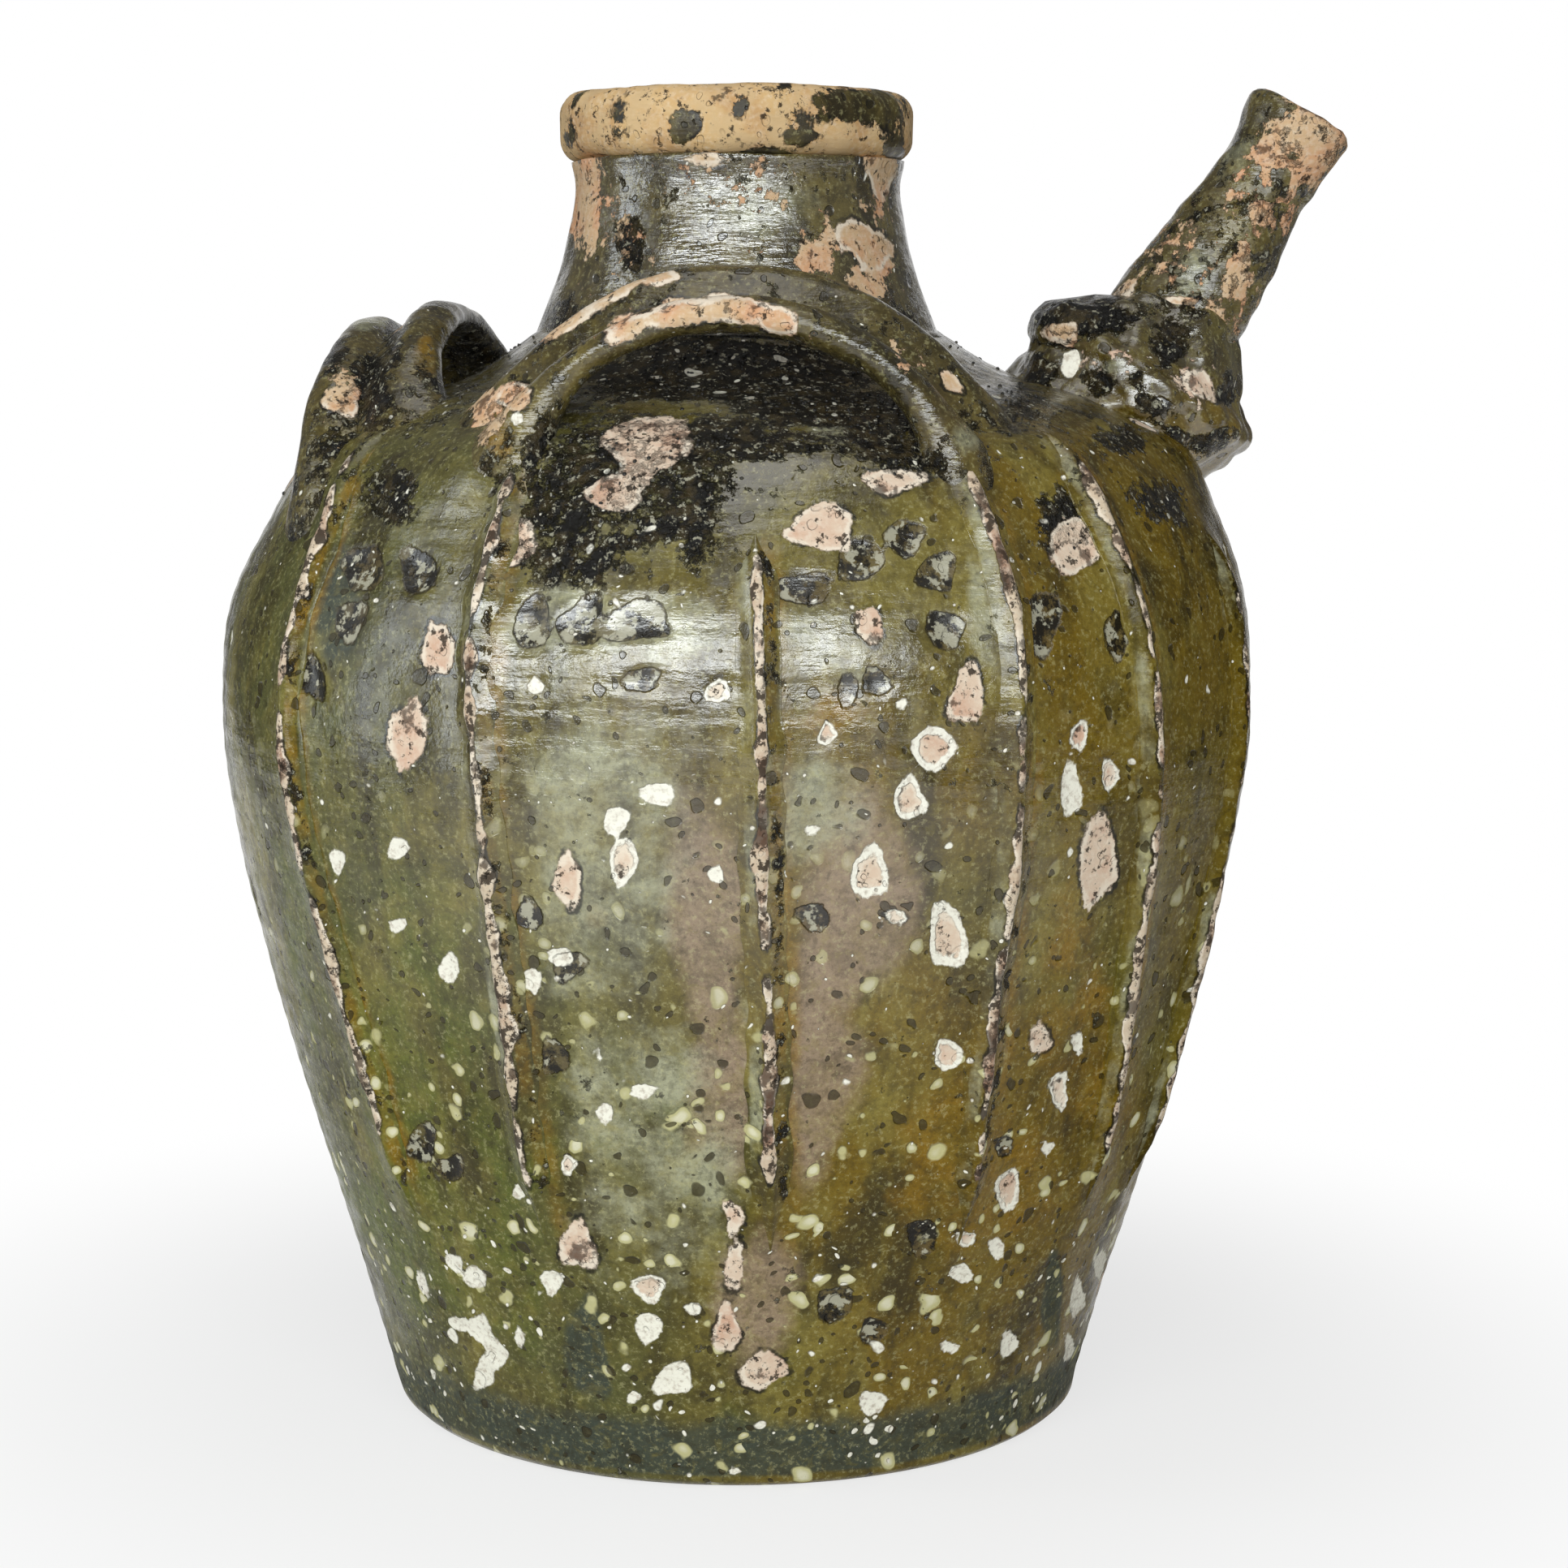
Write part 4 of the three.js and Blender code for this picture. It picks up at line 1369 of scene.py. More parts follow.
    def surface(self, azimuths: Array, arcs: Array, lift: Array | float = 0.0) -> Array:
        """Gives points of the uneven surface, lifted off it by some mm."""
        return turned(azimuths, self.outline.at(arcs, self.swell(azimuths, arcs) + lift))

    def build(self) -> Piece:
        """Builds the body, chips it and dresses it.

        Returns:
            The body's piece.
        """
        profile, arcs = self.profile()
        piece = self.turning.turn("body_shell", profile, self.columns, OLIVE, arcs)
        points = mesh_points(piece)
        arc = read_rows(piece.data.attributes["arc"].data, "value", 1)[:, 0]
        outer = arc >= 0.0
        azimuths = np.arctan2(points[:, 0], -points[:, 1])
        points[outer] = self.surface(azimuths[outer], arc[outer])
        move_points(piece, points)
        painter = Painter(piece)
        painter.mark_by_view(BODY_MARKS)
        self._scatter(painter, arc)
        self._shade(painter, arc)
        depth = self.chip_depth * ramp(painter.masks[Mask.SLIP], 0.3, 0.8)
        depth += self.pit_depth * ramp(painter.masks[Mask.PIT], 0.3, 0.9)
        points[outer] -= (painter.normals * depth[:, None])[outer]
        move_points(piece, points)
        painter.store()
        return fit(piece, Slot.OLIVE, "jar_body")

    def _scatter(self, painter: Painter, arc: Array) -> None:
        """Scatters seeded chips and pits over the sides that the photograph doesn't show.

        Args:
            painter: The body's painter.
            arc: The vertices' lengths along the outline, or -1 inside.
        """
        draw = np.random.default_rng(self.seed + 5)
        radii = self.outline.at(np.maximum(arc, 0.0))[:, 0]
        kinds = (Spot.SLIP, Spot.SLIP, Spot.CORED, Spot.CLAY, Spot.PIT, Spot.PIT)
        for number in range(self.hidden_marks):
            kind = kinds[draw.integers(len(kinds))]
            azimuth = math.radians(draw.uniform(self.hidden_from, self.hidden_to))
            place = draw.beta(1.15, 1.5) * self.outline.length * self.hidden_reach + 8.0
            tall = draw.lognormal(1.15, 0.42) * (1.35 if kind in (Spot.CLAY, Spot.PIT) else 1.0)
            wide = tall * draw.uniform(0.6, 1.05)
            across = around(painter.azimuths, azimuth) * radii / wide
            painter.blot(kind, number, across, (arc - place) / tall, wide * self.pixels_per_mm, arc >= 0.0)

    def _shade(self, painter: Painter, arc: Array) -> None:
        """Adds what follows the form: crust round the handles, specks and a dull grey layer low down, swaths behind,
        painted glints in the crust, and painted highlights and shade on the slopes beside the strips.

        Args:
            painter: The body's painter.
            arc: The vertices' lengths along the outline, or -1 inside.
        """
        points, azimuths, outer = painter.points, painter.azimuths, arc >= 0.0
        heights = points[:, 2] * outer
        low = ramp(heights, self.speck_top, 20.0)
        patchy = ramp(self.middling(points), -0.6, 0.9)
        # White specks all over, thicker low down, partly painted glints.
        painter.lift(Mask.SPECK, (0.45 + 0.55 * low * patchy) * outer)
        painter.lift(Mask.FILM, ramp(heights, self.film_top, 10.0) * outer)
        painter.lift(Mask.SOOT, 0.3 * ramp(heights, 282.0, 312.0) * outer)
        painter.lift(Mask.WEAR, 0.1 * ramp(heights, 250.0, 312.0) * outer)
        # Painted glints: white specks through the crust.
        painter.lift(Mask.SPECK, 0.9 * painter.masks[Mask.SOOT] * outer)
        for middle, wide, bottom in ((-92.0, 30.0, 282.0), (180.0, 34.0, 268.0)):
            level = self._band(azimuths, middle, wide) * ramp(heights, bottom - 14.0, bottom + 22.0)
            painter.lift(Mask.SOOT, 0.6 * level * outer)
        for middle, wide, top in ((118.0, 9.0, 190.0), (205.0, 13.0, 220.0), (262.0, 10.0, 200.0)):
            level = self._band(azimuths, middle, wide) * ramp(heights, top + 25.0, top - 30.0)
            painter.lift(Mask.HAZE, (0.5 + 0.2 * self.slow(points)) * level * outer)
        # Painted light beside each strip: a pale highlight on its left slope and brown painted shade on its right
        # slope.
        for strip in self.strips:
            across, stands = self.off_strip(strip, azimuths, np.maximum(arc, 0.0))
            shaded_slope = ramp(across, 0.5, 3.0) * ramp(across, 13.0, 6.0) * stands
            lit = ramp(-across, 0.5, 3.0) * ramp(-across, 11.0, 5.0) * stands
            painter.lift(Mask.AMBER, 0.6 * shaded_slope * outer)
            painter.lift(Mask.MILK, 0.32 * lit * outer)
        painter.lift(Mask.CLAY, 0.85 * (~outer & (points[:, 2] > 5.0)))

    @staticmethod
    def _band(azimuths: Array, middle: float, wide: float) -> Array:
        """Fades from 1 at an azimuth in degrees to 0 beyond a half width in degrees."""
        return ramp(np.abs(around(azimuths, math.radians(middle))) / math.radians(wide), 1.4, 0.1)


@dataclass
class Strips:
    """The raised strips down the body that carries them: sizes in mm."""

    body: JarBody
    width: float = 12.0
    height: float = 4.2
    root: float = 1.6
    sharpness: float = 1.5
    points: int = 26
    steps: int = 110
    sink: float = 0.25
    wander: float = 0.9
    worn_above: float = 0.56
    seed: int = 31

    def build(self, tree: StripTree) -> None:
        """Lays every strip on the body, swept by a tree."""
        for index, strip in enumerate(self.body.strips):
            self._strip(index, strip, tree)

    def _strip(self, index: int, strip: StripPath, tree: StripTree) -> None:
        """Lays one strip: an uneven path with tapering ends, a ridge along it and its worn crest.

        Args:
            index: The strip's place in the row.
            strip: Its path.
            tree: The tree that sweeps a ridge.
        """
        body = self.body
        wander = Waves(self.seed + index, 60.0, 12)
        bumps = Waves(self.seed + 40 + index, 14.0, 16)
        _, ends_at = body.strip_place(strip, np.array([0.0, 1.0]))
        first = -strip.lead / (ends_at[0] - ends_at[1])
        share = np.linspace(first, 1.0, self.steps)
        azimuths, arcs = body.strip_place(strip, share)
        along = np.stack([arcs, np.full_like(arcs, 7.0 * index), np.zeros_like(arcs)], axis=1)
        azimuths = azimuths + wander(along) * self.wander / body.outline.at(arcs)[:, 0]
        path = body.surface(azimuths, arcs, -self.sink - body.skirt_height * 0.15)
        ends = ramp(share, first - 0.02, first + 0.08) * ramp(share, 1.0, 0.84)
        taper = np.clip(0.12 + 0.88 * ends + 0.09 * bumps(along) * ends, 0.1, 1.25)
        outward = turned(azimuths, body.outline.slope(arcs))
        mesh = chain_mesh("strip_path", path, {"outward": outward, "taper": taper})
        name = f"strip_{index + 1:02d}"
        sizes = {"Width": self.width * MM, "Height": self.height * MM, "Root": self.root * MM}
        values = {**sizes, "Sharpness": self.sharpness, "Points": self.points, "Finish": finish_of(RIDGE)}
        piece = tree.run(name + "_ridge", mesh, values)
        face_outwards(piece)
        self._wear(piece, index, strip)
        fit(piece, Slot.OLIVE, name)

    def _wear(self, piece: Piece, index: int, strip: StripPath) -> None:
        """Wears the crest through to the clay in uneven lengths, and paints a highlight on one slope and shade on
        the other.

        Args:
            piece: The strip's piece.
            index: The strip's place in the row.
            strip: Its path.
        """
        painter = Painter(piece)
        points, azimuths = painter.points, painter.azimuths
        lift, arc = self.body.outline.lift_of(points)
        crest = (lift - self.body.swell(azimuths, arc)) / self.height
        off = self.body.off_strip(strip, azimuths, arc)[0] / (self.width / 2.0)
        lengths = Waves(self.seed + 80 + index, 46.0, 12)(points)
        spots = Waves(self.seed + 120 + index, 9.0, 18)(points)
        worn = 1.6 * (crest - self.worn_above) + 0.14 * lengths + 0.16 * spots
        painter.lift(Mask.CLAY, 0.5 + worn)
        # Painted light on the ridge: a pale highlight on its left slope, and brown and black painted shade on its
        # right slope.
        pale, dirt_and_shade = (ramp(way, 0.08, 0.3) * ramp(way, 1.0, 0.75) for way in (-off, off))
        painter.lift(Mask.MILK, np.clip(0.42 + 0.2 * lengths, 0.0, 0.7) * pale)
        painter.lift(Mask.AMBER, 0.5 * dirt_and_shade)
        painter.lift(Mask.SOOT, np.clip(0.3 + 0.2 * spots, 0.0, 0.6) * dirt_and_shade)
        painter.lift(Mask.SPECK, 0.5)
        painter.lift(Mask.SOOT, 0.25 * ramp(points[:, 2], 268.0, 290.0))
        painter.store()


NECK_MARKS = marks({
    Spot.BARE: ((720, 240, 66, 170, 4), (1046, 315, 130, 96, 30), (1066, 340, 70, 84, 20), (1010, 316, 90, 50)),
    Spot.WEAR: (
        (735, 260, 110, 190), (905, 205, 230, 50), (920, 240, 120, 70), (1085, 250, 60, 120), (770, 290, 60, 140),
    ),
    Spot.CLAY: ((872, 196, 60, 16), (1085, 210, 40, 60), (1064, 303, 76, 56, 30)),
    # Painted glare on the neck.
    Spot.MILK: ((925, 255, 190, 120),),
    Spot.SOOT: ((690, 390, 60, 60), (1110, 400, 60, 90), (778, 300, 44, 100)),
    Spot.GLAZE: ((1045, 322, 26, 24),),
})
RIM_MARKS = marks({
    Spot.GLAZE: (
        (1062, 128, 120, 44), (845, 155, 44, 44), (912, 128, 26, 18), (986, 166, 46, 26), (703, 165, 14, 34),
        (940, 188, 70, 18), (1100, 180, 30, 40),
    ),
})


@dataclass
class NeckAndRim:
    """The flared neck and the rolled rim on a body, turned by a tree: sizes in mm."""

    body: JarBody
    turning: TurningTree
    neck_stations: Stations = ((61.5, 0.0), (54.5, 18.5), (49.4, 25.0), (50.6, 7.5))
    neck_wall: float = 10.0
    neck_columns: int = 240
    neck_rows: int = 34
    lined_radius: float = 51.0
    joint: float = 0.3
    hidden_row: float = 2.4
    hidden_lift: float = -0.08
    rim_overhang: float = 3.2
    rim_height: float = 20.0
    rim_round: float = 6.5
    rim_seat: float = 1.2
    mouth_lip: float = 2.6
    rim_columns: int = 260
    rim_arc_steps: int = 9
    unevenness: float = 0.55
    seed: int = 211

    def build(self) -> None:
        """Builds the neck and the rim."""
        self._neck()
        self._rim()

    def _neck(self) -> None:
        """Turns the neck: it runs a little way into the body, so that the joint is hidden."""
        base = self.body.top
        outline = Outline(self.neck_stations, base)
        outside = outline.at(np.linspace(0.0, outline.length, self.neck_rows))
        root = np.array([self.body.outline.length - self.hidden_row])
        below = self.body.outline.at(root, self.hidden_lift)
        inside = np.stack([outside[::-3, 0] - self.neck_wall, outside[::-3, 1]], axis=1)
        profile = np.vstack([below, outside, inside, below])
        piece = self.turning.turn("neck", profile, self.neck_columns, NECK)
        hold = ramp(mesh_points(piece)[:, 2], base + 2.0, base + 16.0)
        roughen(piece, self.unevenness, self.seed, 60.0, 4.0, hold)
        painter = Painter(piece)
        flat = painter.points[:, :2]
        inwards = np.einsum("ij,ij->i", painter.normals[:, :2], flat) < 0.0
        painter.lift(Mask.CLAY, 0.8 * (inwards & (np.hypot(flat[:, 0], flat[:, 1]) < self.lined_radius)))
        painter.mark_by_view(NECK_MARKS)
        for mask, level in ((Mask.SPECK, 0.5), (Mask.WEAR, 0.17), (Mask.SOOT, 0.12)):
            painter.lift(mask, level)
        painter.store()
        fit(piece, Slot.DARK, "neck_collar")

    def _rim(self) -> None:
        """Turns the rolled rim: worn to the clay, with glaze left in places."""
        top_radius = self.neck_stations[-1][0]
        bottom = self.body.top + sum(rise for _, rise in self.neck_stations) + self.joint
        crown = bottom + self.rim_height - self.rim_round
        mouth = top_radius - self.neck_wall - self.mouth_lip
        outer = top_radius + self.rim_overhang - self.rim_round
        quarter = np.linspace(0.0, math.pi / 2.0, self.rim_arc_steps)
        sine, cosine = np.sin(quarter), np.cos(quarter)
        bend, turn, fold = (
            np.stack(pair, axis=1) * self.rim_round for pair in ((sine, -cosine), (cosine, sine), (-sine, cosine))
        )
        seat = np.array([(mouth, bottom - self.rim_seat), (outer - 1.5, bottom - self.rim_seat)])
        lower = bend + (outer, bottom + self.rim_round)
        upper = fold + (mouth + self.rim_round, crown)
        profile = np.vstack([seat, lower, turn + (outer, crown), upper, seat[:1]])
        piece = self.turning.turn("rim", profile, self.rim_columns, BARE)
        roughen(piece, self.unevenness, self.seed + 7, 34.0, 4.0)
        painter = Painter(piece)
        chipped = Waves(self.seed + 9, 26.0)(painter.points)
        painter.lift(Mask.CLAY, 0.62 - 0.24 * ramp(chipped, 0.35, 1.4))
        painter.lift(Mask.WEAR, 0.75 - 0.4 * ramp(chipped, 0.2, 1.4))
        painter.mark_by_view(RIM_MARKS)
        painter.store()
        fit(piece, Slot.CLAY, "rim_band")


@dataclass(frozen=True)
class Strap:
    """One strap handle: its azimuth and skew in degrees, its rise and ridge step in mm, and its marks."""

    node: str
    azimuth: float
    skew: float
    rise: float
    step: float
    marks: tuple[Mark, ...] = ()


FRONT_MARKS = marks({
    Spot.CLAY: (
        (700, 394, 76, 27, -40), (757, 357, 90, 28, -27), (812, 340, 66, 22, -10), (772, 404, 70, 28, -27),
        (835, 386, 100, 32, -9), (905, 382, 110, 36, 4), (958, 394, 52, 38, 12), (632, 488, 44, 36),
        (1172, 470, 30, 20, 50),
    ),
    Spot.SLIP: ((637, 516, 18, 18),),
    Spot.WEAR: ((1120, 440, 90, 50, 40),),
    Spot.AMBER: ((611, 533, 60, 90),),
    # Painted sheen on the handle's right leg.
    Spot.MILK: ((1190, 540, 50, 60),),
    # Dark crust along the inner edge of the left leg, also painted shade there.
    Spot.BLACK: ((668, 555, 60, 90),),
    Spot.BARE: ((600, 512, 56, 90, 20),),
})
LEFT_MARKS = marks({
    Spot.CLAY: ((422, 494, 46, 40),),
    Spot.WEAR: ((420, 480, 70, 90),),
    Spot.AMBER: ((522, 445, 46, 70),),
    # Painted highlight on the handle's top.
    Spot.MILK: ((455, 396, 80, 28),),
    Spot.SOOT: ((590, 430, 90, 90), (486, 420, 34, 90), (455, 470, 70, 110), (412, 440, 40, 60)),
})


@dataclass
class Handles:
    """The three strap handles on a body, each an arch of two ridges: sizes in mm, angles in degrees."""

    body: JarBody
    radius: float = 100.0
    ridge_spacing: float = 22.0
    ridge_width: float = 14.6
    ridge_thickness: float = 10.4
    outer_drop: float = 2.0
    channel_angle: float = 10.0
    web_angle: float = 30.0
    softening: float = 1.4
    arch_radius: float = 72.0
    arch_spread: float = 80.0
    arch_leg: float = 36.0
    steps: int = 170
    section_points: int = 84
    oversampling: int = 6
    unevenness: float = 0.7
    fillet: float = 16.0
    fillet_spread: float = 7.0
    seed: int = 401
    straps: tuple[Strap, ...] = (
        Strap("handle_front", -0.5, 4.0, 24.6, 9.0, FRONT_MARKS),
        Strap("handle_left", -92.0, 7.0, 20.4, 5.0, LEFT_MARKS),
        Strap("handle_back", 180.0, 5.0, 23.0, 6.0),
    )

    def build(self) -> None:
        """Builds the handles on the body."""
        for index, strap in enumerate(self.straps):
            self._strap(index, strap)

    def _section(self, step: float) -> Array:
        """Draws a strap's section.

        Args:
            step: How far the inner ridge stands above the outer one, in mm.

        Returns:
            The section, anticlockwise: across towards the jar's axis, and out of the arch.
        """
        half = np.array([self.ridge_spacing, step]) / 2.0
        size = np.array([self.ridge_width, self.ridge_thickness]) / 2.0
        inner = np.radians(np.linspace(self.web_angle - 180.0, 180.0 - self.channel_angle, 90))
        outer = np.radians(np.linspace(self.channel_angle, 360.0 - self.web_angle, 90))
        rings = [np.stack([np.cos(turn), np.sin(turn)], axis=1) * size for turn in (inner, outer)]
        loop = np.vstack([rings[0] + half, rings[1] - half])
        loop = np.vstack([loop, loop[:1]])
        along = np.concatenate([[0.0], np.cumsum(np.linalg.norm(np.diff(loop, axis=0), axis=1))])
        even = np.linspace(0.0, along[-1], self.oversampling * self.section_points, endpoint=False)
        dense = np.stack([np.interp(even, along, loop[:, i]) for i in (0, 1)], axis=1)
        waves = np.fft.fftfreq(len(even), along[-1] / len(even))
        soft = np.exp(-2.0 * (math.pi * self.softening * waves) ** 2)
        smooth = np.stack([np.fft.ifft(np.fft.fft(dense[:, i]) * soft).real for i in (0, 1)], axis=1)
        return smooth[:: self.oversampling] + (0.0, step / 2.0 - self.outer_drop)

    def _path(self, top: float) -> tuple[Array, Array]:
        """Draws the arch in its own plane.

        Args:
            top: The height of its top, in mm.

        Returns:
            The path and the direction out of the arch, each as across and height.
        """
        spread = math.radians(self.arch_spread)
        length = spread * self.arch_radius + self.arch_leg
        run = np.linspace(-length, length, self.steps)
        angle = np.clip(run / self.arch_radius, -spread, spread)
        past = run - angle * self.arch_radius
        out = np.stack([np.sin(angle), np.cos(angle)], axis=1)
        along = np.stack([np.cos(angle), -np.sin(angle)], axis=1)
        return out * self.arch_radius + along * past[:, None] + (0.0, top - self.arch_radius), out

    def _strap(self, index: int, strap: Strap) -> None:
        """Sweeps one strap, spreads its feet over the shoulder and dresses it.

        Args:
            index: The strap's place in the row.
            strap: The strap.
        """
        top = self.body.outline.height_at_radius(self.radius, self.body.belly_height) + strap.rise
        path, out = self._path(top)
        section = self._section(strap.step)
        across = path[:, None, 0] + section[None, :, 1] * out[:, None, 0]
        height = path[:, None, 1] + section[None, :, 1] * out[:, None, 1]
        inward = np.broadcast_to(section[None, :, 0], across.shape)
        local = np.stack([-inward, across, height], axis=2).reshape(-1, 3)
        count = len(section)
        faces = [(a, d, c, b) for a, b, c, d in ring_faces(self.steps, count)]
        last = (self.steps - 1) * count
        faces += [tuple(range(count)), tuple(last + c for c in reversed(range(count)))]
        piece = link_mesh(strap.node.replace("handle", "strap"), self._placed(local, strap), faces)
        face_outwards(piece)
        piece.data.materials.append(finish_of(DARK))
        self._work(piece, index)
        painter = Painter(piece)
        painter.mark_by_view(strap.marks)
        hidden = 0.22 + 0.22 * Waves(self.seed + 60 + index, 40.0)(painter.points)
        painter.lift(Mask.WEAR, np.where(painter.seen & bool(strap.marks), 0.0, hidden))
        lift, _ = self.body.outline.lift_of(painter.points)
        painter.lift(Mask.SOOT, 0.24 * ramp(lift, 12.0, 2.0) + 0.16)
        painter.lift(Mask.WEAR, 0.13)
        painter.lift(Mask.SPECK, 0.4)
        painter.store()
        fit(piece, Slot.DARK, strap.node)

    def _placed(self, local: Array, strap: Strap) -> Array:
        """Puts a strap at its skew, radius and azimuth.

        Args:
            local: Its points in its own frame, in mm.
            strap: The strap.

        Returns:
            The points on the jar.
        """
        skew = -math.radians(strap.skew)
        x = local[:, 0] * math.cos(skew) - local[:, 1] * math.sin(skew) + self.radius
        y = local[:, 0] * math.sin(skew) + local[:, 1] * math.cos(skew)
        turn = math.radians(strap.azimuth - 90.0)
        forward = x * math.sin(turn) + y * math.cos(turn)
        return np.stack([x * math.cos(turn) - y * math.sin(turn), forward, local[:, 2]], axis=1)

    def _work(self, piece: Piece, index: int) -> None:
        """Makes a strap hand-worked: uneven along its normals, its feet smeared out on the body.

        Args:
            piece: The strap's piece.
            index: The strap's place in the row.
        """
        points = mesh_points(piece)
        normals = mesh_normals(piece)
        lump = Waves(self.seed + index, 45.0)(points) * 0.75 + Waves(self.seed + 20 + index, 11.0)(points) * 0.25
        points = points + normals * (self.unevenness * lump)[:, None]
        move_points(piece, self.body.smeared(points, normals, self.fillet, self.fillet_spread))


SPOUT_MARKS = marks({
    Spot.BARE: (
        (1625, 160, 130, 110, 35), (1600, 190, 150, 130, 30), (1552, 262, 60, 40, 30), (1522, 340, 50, 110, 15),
    ),
    Spot.WEAR: ((1560, 250, 150, 140, 30), (1500, 370, 120, 220, 15), (1440, 310, 90, 170, 35)),
    Spot.CLAY: ((1385, 358, 40, 18, -35), (1450, 372, 40, 16)),
    # Painted glare on the spout.
    Spot.MILK: ((1520, 200, 50, 80, 30), (1470, 345, 60, 110, 25)),
    Spot.SOOT: ((1450, 420, 70, 100),),
    Spot.GLAZE: ((1553, 133, 36, 48, 20), (1575, 228, 30, 40), (1592, 192, 16, 14)),
})
SOCKET_MARKS = marks({
    Spot.CLAY: ((1478, 473, 32, 46, -20),),
    Spot.WEAR: ((1470, 460, 80, 110), (1360, 445, 130, 50), (1375, 440, 130, 50)),
    Spot.SLIP: ((1322, 446, 20, 22),),
    # Painted highlights on the socket, along its ridge.
    Spot.MILK: ((1376, 452, 60, 26), (1384, 528, 130, 20, 33)),
    Spot.SOOT: (
        (1350, 470, 60, 40, 20), (1420, 500, 60, 34, 30), (1400, 470, 30, 30), (1450, 535, 70, 22, 25),
        (1345, 392, 150, 56), (1440, 420, 60, 90), (1510, 480, 40, 60), (1490, 545, 90, 40, -20),
    ),
    Spot.AMBER: ((1450, 560, 90, 60),),
    Spot.PIT: ((1382, 556, 36, 24, 20), (1430, 498, 24, 20)),
})
LUG_MARKS = marks({
    Spot.CLAY: ((1309, 411, 40, 30),),
    Spot.SLIP: ((1322, 448, 30, 34),),
    # Painted sheen on the lug.
    Spot.MILK: ((1370, 452, 120, 56),),
    Spot.BLACK: ((1345, 385, 180, 60), (1350, 427, 150, 16, 4)),
    Spot.SOOT: ((1280, 460, 50, 60),),
    Spot.WEAR: ((1375, 440, 130, 50),),
})


